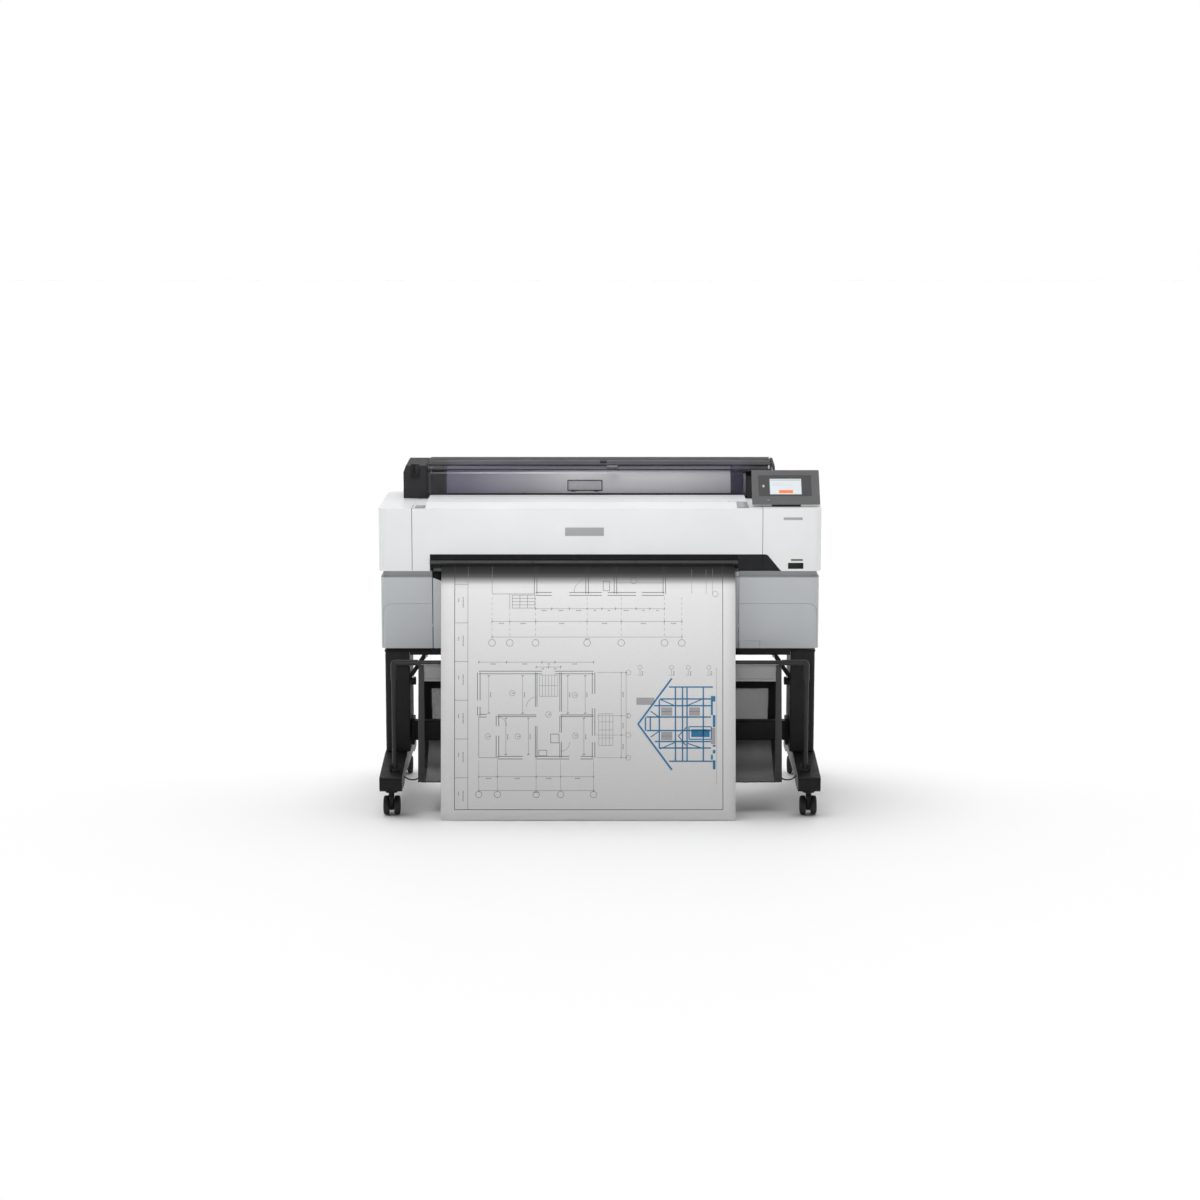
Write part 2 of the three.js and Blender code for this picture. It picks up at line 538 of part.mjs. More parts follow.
function makeRollHousings() {
  const left = outline([
    [78, SIDE_TOP + GAP], [80, 1055, 10], [250, LID_TOP, 14], [263, 1040, 12],
    [263, SIDE_TOP + GAP],
  ]);
  const grip = block([-606, -578], [70, 84], [1013, 1047]);
  const shaft = round('x', SPINDLE + 0.6, ROLL_AXIS, [HOUSING_LEFT[1] - 9, HOUSING_LEFT[1] + 5]);
  const [outer] = HOUSING_LEFT;
  const shoulder = extrude(outline([
    [outer - 5, 1034], [outer, 1034], [outer + 12, LID_TOP + 1], [outer + 12, LID_TOP + 5], [outer - 5, LID_TOP + 5],
  ]), 'y', 60, 280);
  add('left_roll_housing', cut(extrude(left, 'x', ...HOUSING_LEFT), grip, shaft, shoulder), FINISH.black);

  const right = outline([
    [86, SIDE_TOP + GAP], [88, 1018, 16], [250, 1018, 20], [258, SIDE_TOP + GAP],
  ]);
  const rim = (margin) => [
    [80 + margin, SIDE_TOP + GAP + margin], [82 + margin, 1052 - margin, 30],
    [250 - margin, LID_TOP - margin, 14],
    [258 - margin, SIDE_TOP + GAP + margin],
  ];
  const arch = cut(
    extrude(outline(rim(0)), 'x', 554, 562),
    extrude(outline(rim(7)), 'x', 553, 563),
  );
  const rightShaft = round('x', SPINDLE + 0.6, ROLL_AXIS, [HOUSING_RIGHT[0] - 5, HOUSING_RIGHT[0] + 9]);
  const block0 = cut(extrude(right, 'x', ...HOUSING_RIGHT), rightShaft);
  const link = block([HOUSING_RIGHT[1] - 1, 555], [110, 220], [SIDE_TOP + GAP, SIDE_TOP + 6]);
  add('right_roll_housing', join(block0, link, arch), FINISH.black);
}

function makeLid() {
  const profile = ribbon([
    [LID.front + 1.5, COVER_TOP + 3], [LID.front + 5, 1041, 12], [150, 1056, 50],
    [250, LID_TOP - 1.5, 10], [261, 1040, 10], [262, SIDE_TOP + 3],
  ], WALL);
  const shell = extrude(profile, 'x', LID.left, LID.right);
  const open = block([LID.window, LID.right + 1], [LID.front - 5, LID.front + 30], [955, 1036]);
  const endRib = (x) => block([x, x + 6], [LID.front + 3, LID.front + 12], [976, 1035]);
  add('roll_cover', join(cut(shell, open), endRib(LID.left + 2), endRib(LID.window - 7)), FINISH.smoke);

  const frame = block([-103, 6], [LID.front - 8, LID.front - 0.4], [976, 1008]);
  const finger = block([-98, 1], [LID.front - 9, LID.front - 2], [981, 1003]);
  add('roll_cover_handle', cut(frame, finger), FINISH.panel);
}

function makeMediaRoll() {
  const core = 27;
  const paper = new THREE.LatheGeometry([
    [core, 0], [ROLL_RADIUS, 0], [ROLL_RADIUS, SHEET_WIDTH], [core, SHEET_WIDTH], [core, 0],
  ].map(([r, along]) => new THREE.Vector2(r, along)), 40);
  const roll = new THREE.Group();
  roll.position.set(0, ...ROLL_AXIS);
  plotter.add(roll);
  add('paper_roll', paper.rotateZ(-Math.PI / 2).translate(SHEET_LEFT, 0, 0), FINISH.paper, roll);
  const adapter = (name, outerEnd, paperEnd) => {
    const toward = Math.sign(paperEnd - outerEnd);
    const ordered = (a, b) => [Math.min(a, b), Math.max(a, b)];
    const flange = paperEnd - toward * GAP;
    add(name, join(
      round('x', SPINDLE, [0, 0], ordered(outerEnd, flange - toward * 4), 24),
      round('x', 48, [0, 0], ordered(outerEnd + toward * 14, flange - toward * 8), 28),
      round('x', ROLL_RADIUS + 3, [0, 0], ordered(flange - toward * 9, flange), 36),
      round('x', core - 0.5, [0, 0], ordered(flange - toward, paperEnd + toward * 26), 24),
    ), FINISH.black, roll);
  };
  adapter('left_roll_adapter', HOUSING_LEFT[1] - 6, SHEET_LEFT);
  adapter('right_roll_adapter', HOUSING_RIGHT[0] + 6, SHEET_RIGHT);
}

// ---- Print engine -------------------------------------------------------------------------------
const FEED = { y: -8, radius: 15 };
const PINCH_RADIUS = 6;
const BELT_PLANE = [46, 54];
const PULLEY_RADIUS = 11.6;
const PULLEY_X = 566;
const BELT_AXIS = 850;
const CARRIAGE_PARK = 492;

function makeEngine() {
  const across = 589.6;
  const bed = outline([
    [-146, SHEET_LEVEL - 18], [-146, SHEET_LEVEL - 5, 3], [-138, SHEET_LEVEL - 1.4, 3],
    [-26, SHEET_LEVEL - 1.4], [-26, SHEET_LEVEL - 18],
  ]);
  add('platen', extrude(bed, 'x', -across, across), FINISH.black);
  const feedTop = SHEET_LEVEL - 1.4;
  add('feed_roller', round('x', FEED.radius, [FEED.y, feedTop - FEED.radius], [-across, across], 28),
    FINISH.tyre);
  const pinchAxis = [FEED.y, SHEET_LEVEL + 1 + PINCH_RADIUS];
  const spindle = round('x', 3, pinchAxis, [-560, 560], 12);
  const tyres = Array.from({ length: 8 }, (_, i) => {
    const x = SHEET_LEFT + 50 + i * ((SHEET_WIDTH - 100) / 7);
    return round('x', PINCH_RADIUS, pinchAxis, [x - 14, x + 14], 12);
  });
  add('pinch_roller', join(spindle, ...tyres), FINISH.tyre);

  const rail = outline([
    [60, 828], [60, 834], [92, 834], [92, 872], [60, 872], [60, 878], [98, 878], [98, 828],
  ]);
  add('carriage_rail', extrude(rail, 'x', -across, across), FINISH.steel);

  const carriage = outline([
    [-96, 788, 4], [-96, 868, 10], [-20, 896, 10], [44, 896], [44, 822], [10, 806, 8], [10, 788, 4],
  ]);
  add('print_carriage', extrude(carriage, 'x', CARRIAGE_PARK - 50, CARRIAGE_PARK + 50), FINISH.black);

  const loop = (radius, path = new THREE.Shape()) => {
    path.absarc(PULLEY_X, BELT_AXIS, radius, -Math.PI / 2, Math.PI / 2);
    path.absarc(-PULLEY_X, BELT_AXIS, radius, Math.PI / 2, (3 * Math.PI) / 2);
    path.closePath();
    return path;
  };
  const belt = loop(PULLEY_RADIUS + 2.4);
  belt.holes.push(loop(PULLEY_RADIUS + GAP, new THREE.Path()));
  add('drive_belt', extrude(belt, 'y', ...BELT_PLANE, 10), FINISH.tyre);
  for (const [name, x] of [['idler_pulley', -PULLEY_X], ['drive_pulley', PULLEY_X]]) {
    const pulley = new THREE.Group();
    pulley.position.set(x, 0, BELT_AXIS);
    plotter.add(pulley);
    const wheel = round('y', PULLEY_RADIUS, [0, 0], BELT_PLANE, 24);
    const shaft = round('y', 4, [0, 0], [BELT_PLANE[0] - 4, BELT_PLANE[1] + 5.4], 12);
    add(name, join(wheel, shaft), FINISH.steel, pulley);
  }
}

// ---- Printed sheet hanging from the exit --------------------------------------------------------
function makeSheet() {
  const half = 0.6; // half the thickness
  const lip = new THREE.Vector2(-206, SHEET_LEVEL);
  const fall = new THREE.Vector2(-276, 640);
  const toe = new THREE.Vector2(SHEET_TOE + half, 3);
  const bend = new THREE.QuadraticBezierCurve(lip, new THREE.Vector2(-254, SHEET_LEVEL - 3), fall);
  const route = [...bend.getPoints(8), toe];
  const side = (sign) => route.map((p, i) => {
    const along = route[Math.min(i + 1, route.length - 1)].clone().sub(route[Math.max(i - 1, 0)]);
    return new THREE.Vector2(-along.y, along.x).setLength(sign * half).add(p);
  });
  const shape = new THREE.Shape([...side(1), ...side(-1).reverse()]);
  add('printed_sheet', extrude(shape, 'x', SHEET_LEFT, SHEET_RIGHT), FINISH.paper);
}

// ---- Control panel ------------------------------------------------------------------------------
const PANEL = { left: 478, right: 690, foot: [-150, 957], lean: 40, height: 131 };
const GLASS = { left: 499, right: 664, low: 33, high: 110 };
const BUTTON = { x: 528, height: 17, radius: 5 };

function makePanel() {
  const lean = THREE.MathUtils.degToRad(PANEL.lean);
  const [footY, footZ] = PANEL.foot;
  const panel = new THREE.Group();
  panel.position.set(0, footY, footZ);
  panel.rotation.x = -lean;
  plotter.add(panel);
  const under = 27; // depth of the level underside
  const underside = [under * Math.cos(lean), under * Math.sin(lean)];
  const profile = outline([
    [0, 0, 1.5], [0, PANEL.height, 1.5], [9, PANEL.height, 4], [17, PANEL.height - 14, 12],
    underside,
  ]);
  const recess = block([GLASS.left - GAP, GLASS.right + GAP], [-1, 2.6], [GLASS.low - GAP, GLASS.high + GAP]);
  const buttonHole = round('y', BUTTON.radius + GAP, [BUTTON.x, BUTTON.height], [-1, 6], 20);
  const housing = extrude(profile, 'x', PANEL.left, PANEL.right, 4);
  add('panel_housing', cut(housing, recess, buttonHole), FINISH.panel, panel);
  add('panel_screen', block([GLASS.left, GLASS.right], [0, 2.2], [GLASS.low, GLASS.high]),
    FINISH.glass, panel);
  add('power_button', round('y', BUTTON.radius, [BUTTON.x, BUTTON.height], [-0.6, 3.4], 20),
    FINISH.panel, panel);
  add('panel_stand', block([540, 630], [-136, -104], [SIDE_TOP + GAP, footZ - 0.6]), FINISH.black);
}

makeStand();
makeCasters();
makeBasket();
makeFrame();
makeLowerCasing();
makeInk();
makeSideCovers();
makeFrontCover();
makeRearCover();
makeRollHousings();
makeLid();
makeMediaRoll();
makeEngine();
makeSheet();
makePanel();

export default plotter;
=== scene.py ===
"""Large format plotter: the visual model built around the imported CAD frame. Units are metres."""
import math

import bmesh
import bpy
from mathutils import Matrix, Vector


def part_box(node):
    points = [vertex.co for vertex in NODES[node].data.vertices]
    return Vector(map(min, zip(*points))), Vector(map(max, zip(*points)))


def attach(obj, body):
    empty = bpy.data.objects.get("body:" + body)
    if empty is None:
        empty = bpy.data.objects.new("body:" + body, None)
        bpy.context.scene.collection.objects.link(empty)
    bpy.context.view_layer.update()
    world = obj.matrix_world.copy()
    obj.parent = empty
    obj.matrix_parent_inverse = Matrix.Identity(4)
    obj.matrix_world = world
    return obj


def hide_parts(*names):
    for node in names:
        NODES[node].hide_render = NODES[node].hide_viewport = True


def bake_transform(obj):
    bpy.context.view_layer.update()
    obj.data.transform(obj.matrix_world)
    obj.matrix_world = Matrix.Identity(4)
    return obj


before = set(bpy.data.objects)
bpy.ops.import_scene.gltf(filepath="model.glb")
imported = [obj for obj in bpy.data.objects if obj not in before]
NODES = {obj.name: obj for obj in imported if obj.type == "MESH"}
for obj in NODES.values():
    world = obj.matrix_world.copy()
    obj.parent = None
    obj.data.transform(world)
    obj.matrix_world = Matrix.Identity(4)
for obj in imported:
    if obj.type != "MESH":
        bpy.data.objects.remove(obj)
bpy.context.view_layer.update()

# ---- Camera: the viewing angle of a long lens in front of the machine ----------------------------
CAMERA_PLACE = (0.0, -8.665, 2.0076)
CAMERA_TILT = math.radians(90.0 - 9.0)
CAMERA_LENS = 82.385


def make_camera():
    data = bpy.data.cameras.new("camera")
    data.lens = CAMERA_LENS
    data.sensor_width = 36.0
    data.clip_end = 60.0
    camera = bpy.data.objects.new("camera", data)
    camera.location = CAMERA_PLACE
    camera.rotation_euler = (CAMERA_TILT, 0.0, 0.0)
    bpy.context.collection.objects.link(camera)
    bpy.context.scene.camera = camera


# ---- Measures taken from the frame ---------------------------------------------------------------
COVER_LOW, COVER_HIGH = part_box("front_cover")
BAR_LOW, BAR_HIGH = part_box("exit_bar")
LID_LOW, LID_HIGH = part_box("roll_cover")
SHEET_LOW, SHEET_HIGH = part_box("printed_sheet")
FRONT_LOW, FRONT_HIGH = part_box("basket_front")
FACE = COVER_LOW.y  # plane of the casing's front
REAR = 0.2920  # plane of the casing's rear


# ---- Mesh helpers --------------------------------------------------------------------------------
def new_piece(name, mesh, material, body, slot, smooth_angle=35.0):
    piece = bpy.data.objects.new(name, mesh)
    bpy.context.collection.objects.link(piece)
    mesh.materials.append(material)
    mesh.shade_smooth()
    mesh.set_sharp_from_angle(angle=math.radians(smooth_angle))
    if body:
        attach(piece, body)
    return piece


def mesh_from(name, vertices, faces):
    mesh = bpy.data.meshes.new(name)
    mesh.from_pydata([tuple(v) for v in vertices], [], faces)
    mesh.update()
    return mesh


def bevelled(name, low, high, width, segments=3):
    """A box with rounded edges."""
    bm = bmesh.new()
    bmesh.ops.create_cube(bm, size=1.0)
    size = Vector(high) - Vector(low)
    middle = (Vector(high) + Vector(low)) / 2
    for v in bm.verts:
        v.co = Vector((v.co.x * size.x, v.co.y * size.y, v.co.z * size.z)) + middle
    bmesh.ops.bevel(bm, geom=bm.edges[:], offset=width, segments=segments, affect="EDGES", profile=0.5)
    mesh = bpy.data.meshes.new(name)
    bm.to_mesh(mesh)
    bm.free()
    return mesh


def rounded_box(name, low, high, edge, material, body="base", slot="black_plastic", segments=3):
    """A piece made of one box with rounded edges."""
    return new_piece(name, bevelled(name, low, high, edge, segments), material, body, slot)


def thicken(piece, thickness, offset=0.0):
    solid = piece.modifiers.new("thickness", "SOLIDIFY")
    solid.thickness = thickness
    solid.offset = offset


def turned(name, profile, axis, place, segments=48, hollow=False):
    """A solid of revolution: profile holds (radius, distance) pairs, and closes on itself if hollow."""
    vertices, faces = [], []
    for r, along in profile:
        for k in range(segments):
            angle = 2 * math.pi * k / segments
            a, b = r * math.cos(angle), r * math.sin(angle)
            offset = {"x": (along, a, b), "y": (a, along, b), "z": (a, b, along)}[axis]
            vertices.append(Vector(place) + Vector(offset))
    rings = len(profile)
    for ring in range(rings if hollow else rings - 1):
        a, b = ring * segments, (ring + 1) % rings * segments
        for k in range(segments):
            n = (k + 1) % segments
            faces.append((a + k, a + n, b + n, b + k))
    if not hollow:
        faces.append(tuple(range(segments)))
        faces.append(tuple((rings - 1) * segments + k for k in range(segments)))
    mesh = mesh_from(name, vertices, faces)
    outward(mesh)
    return mesh


def outward(mesh):
    """Joins points that coincide, such as a ring on its own axis, and turns every face outwards."""
    bm = bmesh.new()
    bm.from_mesh(mesh)
    bmesh.ops.remove_doubles(bm, verts=bm.verts[:], dist=1e-6)
    bmesh.ops.recalc_face_normals(bm, faces=bm.faces[:])
    bm.to_mesh(mesh)
    bm.free()


def prism(name, outline, low_x, high_x):
    """An outline in (y, z) carried from low_x to high_x."""
    count = len(outline)
    vertices = [(x, y, z) for x in (low_x, high_x) for y, z in outline]
    faces = [tuple(range(count)), tuple(range(count, 2 * count))]
    faces += [(i, (i + 1) % count, count + (i + 1) % count, count + i) for i in range(count)]
    mesh = mesh_from(name, vertices, faces)
    outward(mesh)
    return mesh


def grid_mesh(name, rows, columns, place):
    vertices = [place(i / columns, j / rows) for j in range(rows + 1) for i in range(columns + 1)]
    wide = columns + 1
    faces = [(j * wide + i, j * wide + i + 1, (j + 1) * wide + i + 1, (j + 1) * wide + i)
             for j in range(rows) for i in range(columns)]
    return mesh_from(name, vertices, faces)


# ---- Materials -----------------------------------------------------------------------------------
class Shader:
    """A node material with short calls for the textures that every finish shares."""

    def __init__(self, name, colour, roughness, **settings):
        self.material = bpy.data.materials.new(name)
        self.material.use_nodes = True
        self.tree = self.material.node_tree
        self.bsdf = self.tree.nodes["Principled BSDF"]
        self.colour = colour
        self.bsdf.inputs["Base Color"].default_value = (*colour, 1.0)
        self.bsdf.inputs["Roughness"].default_value = roughness
        for key, value in settings.items():
            self.bsdf.inputs[key.replace("_", " ").title().replace("Ior", "IOR")].default_value = value
        self.coordinates = self.node("ShaderNodeTexCoord").outputs["Object"]

    def node(self, kind, **values):
        made = self.tree.nodes.new(kind)
        for key, value in values.items():
            setattr(made, key, value)
        return made

    def link(self, a, b):
        self.tree.links.new(a, b)

    def noise(self, scale, detail=3.0, stretch=None):
        made = self.node("ShaderNodeTexNoise")
        made.inputs["Scale"].default_value = scale
        made.inputs["Detail"].default_value = detail
        source = self.coordinates
        if stretch:
            mapping = self.node("ShaderNodeMapping")
            mapping.inputs["Scale"].default_value = stretch
            self.link(source, mapping.inputs["Vector"])
            source = mapping.outputs["Vector"]
        self.link(source, made.inputs["Vector"])
        return made.outputs["Fac"]

    def ramp(self, source, stops):
        made = self.node("ShaderNodeValToRGB")
        elements = made.color_ramp.elements
        while len(elements) < len(stops):
            elements.new(0.5)
        for element, (position, colour) in zip(elements, stops):
            element.position = position
            element.color = (*colour, 1.0) if len(colour) == 3 else colour
        self.link(source, made.inputs["Fac"])
        return made.outputs["Color"]

    def remap(self, source, low, high, source_low=0.3, source_high=0.7):
        made = self.node("ShaderNodeMapRange")
        made.inputs["From Min"].default_value = source_low
        made.inputs["From Max"].default_value = source_high
        made.inputs["To Min"].default_value = low
        made.inputs["To Max"].default_value = high
        self.link(source, made.inputs["Value"])
        return made.outputs["Result"]

    def mix(self, a, b, factor, blend="MIX"):
        made = self.node("ShaderNodeMix", data_type="RGBA", blend_type=blend)
        for value, socket in ((factor, made.inputs[0]), (a, made.inputs[6]), (b, made.inputs[7])):
            if isinstance(value, (int, float)):
                socket.default_value = value
            elif isinstance(value, tuple):
                socket.default_value = (*value, 1.0)
            else:
                self.link(value, socket)
        return made.outputs[2]

    def vary(self, amount=0.04, scale=6.0):
        """Soft colour variation over the surface."""
        dark = tuple(c * (1 - amount) for c in self.colour)
        light = tuple(min(1.0, c * (1 + amount)) for c in self.colour)
        self.base(self.ramp(self.noise(scale, 4.0), [(0.3, dark), (0.7, light)]))

    def base(self, output):
        self.link(output, self.bsdf.inputs["Base Color"])

    def gloss(self, scale, low, high):
        self.link(self.remap(self.noise(scale, 4.0), low, high), self.bsdf.inputs["Roughness"])

    def bump(self, height, strength, distance=0.0005):
        made = self.node("ShaderNodeBump")
        made.inputs["Strength"].default_value = strength
        made.inputs["Distance"].default_value = distance
        self.link(height, made.inputs["Height"])
        self.link(made.outputs["Normal"], self.bsdf.inputs["Normal"])

    def part_of(self, axis):
        made = self.node("ShaderNodeSeparateXYZ")
        self.link(self.coordinates, made.inputs["Vector"])
        return made.outputs[axis]


def shades(colour, share):
    """Ramp stops from a darker share of a colour to the colour itself."""
    return [(0.3, tuple(c * share for c in colour)), (0.7, colour)]


def levels(stops):
    """Ramp stops in grey from pairs of position and level."""
    return [(at, (level,) * 3) for at, level in stops]


def moulded(name, colour, roughness, grain=1400.0, bump=0.08, vary=0.025, specular=0.5):
    """Moulded plastic with a fine spark-eroded texture."""
    shader = Shader(name, colour, roughness, specular_ior_level=specular)
    shader.vary(vary)
    shader.gloss(35.0, roughness - 0.05, roughness + 0.06)
    shader.bump(shader.noise(grain, 2.0), bump, 0.0002)
    return shader.material


def powder_coat(name, colour, roughness, specular=0.25):
    """Powder coated steel with a light orange peel."""
    shader = Shader(name, colour, roughness, specular_ior_level=specular)
    shader.vary(0.12, 14.0)
    shader.gloss(60.0, roughness - 0.08, roughness + 0.08)
    shader.bump(shader.noise(650.0, 2.0), 0.18, 0.0004)
    return shader.material


def painted_reflection_inside(name, colour, inside):
    """Powder coat with a painted reflection: paler on the faces turned to the machine's middle."""
    shader = Shader(name, colour, 0.50, specular_ior_level=0.25)
    turned_to = shader.node("ShaderNodeSeparateXYZ")
    shader.link(shader.node("ShaderNodeTexCoord").outputs["Normal"], turned_to.inputs[0])
    inward = shader.node("ShaderNodeMath", operation="MULTIPLY")
    shader.link(shader.part_of("X"), inward.inputs[0])
    shader.link(turned_to.outputs[0], inward.inputs[1])
    share = shader.remap(inward.outputs[0], 1.0, 0.0, -0.60, -0.35)
    # painted reflection of the bright studio on the inner faces
    patches = shader.ramp(shader.noise(14.0, 4.0), shades(inside, 0.85))
    shader.base(shader.mix(colour, patches, share))
    shader.gloss(60.0, 0.42, 0.58)
    shader.bump(shader.noise(650.0, 2.0), 0.18, 0.0004)
    return shader.material


def painted_shade_above(name, colour, upper, roughness, split, specular=0.5):
    """Moulded plastic with painted shade: a darker colour above a height."""
    shader = Shader(name, colour, roughness, specular_ior_level=specular)
    above = shader.remap(shader.part_of("Z"), 0.0, 1.0, split - 0.0004, split + 0.0004)
    low = shader.ramp(shader.noise(6.0, 4.0), shades(colour, 0.975))
    high = shader.ramp(shader.noise(6.0, 4.0), shades(upper, 0.95))
    shader.base(shader.mix(low, high, above))
    shader.gloss(35.0, roughness - 0.05, roughness + 0.06)
    shader.bump(shader.noise(1400.0, 2.0), 0.08, 0.0002)
    return shader.material


def plated_steel(name):
    shader = Shader(name, (0.52, 0.53, 0.54), 0.34, metallic=1.0)
    shader.vary(0.10, 9.0)
    streaks = shader.noise(260.0, 3.0, (1.0, 0.05, 1.0))
    shader.link(shader.remap(streaks, 0.28, 0.46), shader.bsdf.inputs["Roughness"])
    shader.bump(streaks, 0.10, 0.0002)
    return shader.material


def rubber(name, colour):
    shader = Shader(name, colour, 0.75)
    shader.vary(0.15, 40.0)
    shader.gloss(90.0, 0.66, 0.86)
    shader.bump(shader.noise(900.0, 3.0), 0.22, 0.0004)
    return shader.material


# Painted shade of the smoke cover: a dark tint at its ends, and opacity along x, highest at the left end.
SMOKE_PAINTED_END_SHADE = (0.014, 0.013, 0.018)
SMOKE_PAINTED_SHADE_ALPHA = [(0.0, 0.50), (0.06, 0.47), (0.22, 0.33), (0.42, 0.13), (0.72, 0.15), (1.0, 0.28)]


def smoke_plastic(name, colour=(0.120, 0.102, 0.185), alpha=None, roughness=0.17, specular=0.35):
    """Clear smoke tinted cover: see-through and polished, with painted shade: more opaque towards its ends,
    most at the left, and darker at the ends.
    """
    shader = Shader(name, colour, roughness, specular_ior_level=specular)
    along = shader.remap(shader.part_of("X"), 0.0, 1.0, -0.553, 0.552)
    if alpha is None:
        density = shader.ramp(along, levels(SMOKE_PAINTED_SHADE_ALPHA))
        shader.link(density, shader.bsdf.inputs["Alpha"])
    else:
        shader.bsdf.inputs["Alpha"].default_value = alpha
    tint = shader.ramp(shader.noise(3.0, 4.0), shades(colour, 0.94))
    # painted shade: the ends of the cover turn dark
    painted_end_shade = shader.ramp(along, levels([(0.048, 1.0), (0.062, 0.0), (0.90, 0.0), (0.95, 1.0)]))
    shader.base(shader.mix(tint, SMOKE_PAINTED_END_SHADE, painted_end_shade))
    shader.gloss(8.0, roughness - 0.04, roughness + 0.05)
    shader.bump(shader.noise(30.0, 2.0, (0.15, 1.0, 1.0)), 0.05, 0.0005)
    return shader.material


def woven(name, colour, pitch=0.0022, roughness=0.9, alpha=1.0, depth=None):
    """Tight woven polyester: crossed threads in colour and relief, with painted light as a level along y if
    given.
    """
    shader = Shader(name, colour, roughness, alpha=alpha)
    shader.bsdf.inputs["Sheen Weight"].default_value = 0.25
    bands = []
    for direction in ("X", "Z"):
        wave = shader.node("ShaderNodeTexWave", wave_type="BANDS", bands_direction=direction)
        wave.inputs["Scale"].default_value = 1.0 / (pitch * 2 * math.pi) * 2
        wave.inputs["Distortion"].default_value = 0.4
        shader.link(shader.coordinates, wave.inputs["Vector"])
        bands.append(wave.outputs["Fac"])
    crossed = shader.node("ShaderNodeMath", operation="MULTIPLY")
    shader.link(bands[0], crossed.inputs[0])
    shader.link(bands[1], crossed.inputs[1])
    dark = tuple(c * 0.86 for c in colour)
    light = tuple(min(1.0, c * 1.10) for c in colour)
    threads = shader.ramp(crossed.outputs[0], [(0.0, dark), (1.0, light)])
    patches = shader.ramp(shader.noise(7.0, 4.0), levels([(0.3, 0.86), (0.7, 1.0)]))
    cloth = shader.mix(threads, patches, 1.0, "MULTIPLY")
    # painted light: the cloth lighter or darker along y
    if depth:
        first, last = depth[0][0], depth[-1][0]
        along = shader.remap(shader.part_of("Y"), 0.0, 1.0, first, last)
        stops = levels([((y - first) / (last - first), share) for y, share in depth])
        cloth = shader.mix(cloth, shader.ramp(along, stops), 1.0, "MULTIPLY")
    shader.base(cloth)
    shader.bump(crossed.outputs[0], 0.12, 0.0005)
    return shader.material


# Painted shadow of the exit slot on the hanging sheet: share of the paper's colour, full low down, near black
# at the lip.
SLOT_PAINTED_SHADOW = [(0.0, 1.0), (0.22, 0.92), (0.40, 0.45), (0.57, 0.13), (0.75, 0.05), (1.0, 0.02)]


def paper(name, painted_shadow_span=None):
    """Uncoated plot paper with faint fibres; the stretch under the exit carries a painted shadow of the slot.
    """
    shader = Shader(name, (0.86, 0.86, 0.86), 0.85, specular_ior_level=0.2)
    fibres = shader.ramp(shader.noise(420.0, 5.0), [(0.3, (0.82, 0.82, 0.822)), (0.7, (0.885, 0.885, 0.885))])
    if painted_shadow_span:
        # painted shadow by height, kept to the sheet outside the casing's front
        fall = shader.remap(shader.part_of("Z"), 0.0, 1.0, *painted_shadow_span)
        dark = shader.ramp(fall, levels(SLOT_PAINTED_SHADOW))
        outside = shader.remap(shader.part_of("Y"), 1.0, 0.0, FACE - 0.004, FACE + 0.012)
        fibres = shader.mix(fibres, dark, outside, "MULTIPLY")
    shader.base(fibres)
    shader.bump(shader.noise(900.0, 3.0), 0.06, 0.0002)
    return shader.material


def ink(name, colour):
    """Dry printed ink with a slightly uneven density."""
    shader = Shader(name, colour, 0.85)
    light = tuple(min(1.0, c * 1.3 + 0.03) for c in colour)
    shader.base(shader.ramp(shader.noise(500.0, 3.0), [(0.35, colour), (0.75, light)]))
    shader.bump(shader.noise(900.0, 2.0), 0.03, 0.0001)
    return shader.material


def lit_display(name, colour, strength):
    shader = Shader(name, colour, 0.25)
    tint = shader.ramp(shader.noise(5.0, 2.0), shades(colour, 0.96))
    shader.base(tint)
    shader.link(tint, shader.bsdf.inputs["Emission Color"])
    shader.bsdf.inputs["Emission Strength"].default_value = strength
    return shader.material


def cover_glass(name):
    shader = Shader(name, (0.026, 0.027, 0.028), 0.14, specular_ior_level=0.35)
    shader.vary(0.08, 12.0)
    shader.gloss(20.0, 0.09, 0.16)
    return shader.material


WHITE = moulded("white_plastic", (0.79, 0.80, 0.81), 0.42)
GREY = moulded("grey_plastic", (0.50, 0.52, 0.535), 0.48)
# Painted shade on the lower covers' inset waist above 0.7345.
GREY_WITH_PAINTED_WAIST_SHADE = painted_shade_above("grey_plastic_with_painted_waist_shade", (0.50, 0.52, 0.535), (0.245, 0.251, 0.262), 0.48,
                           split=0.7345)
SKIRT = moulded("skirt_plastic", (0.49, 0.51, 0.525), 0.50)
BLACK = moulded("black_plastic", (0.010, 0.010, 0.012), 0.48, bump=0.12, vary=0.15, specular=0.18)
HOUSING = moulded("roll_housing_plastic", (0.026, 0.026, 0.028), 0.55, bump=0.14, vary=0.10, specular=0.15)
DARK = moulded("dark_recess_plastic", (0.005, 0.005, 0.006), 0.6, bump=0.12, vary=0.15, specular=0.15)
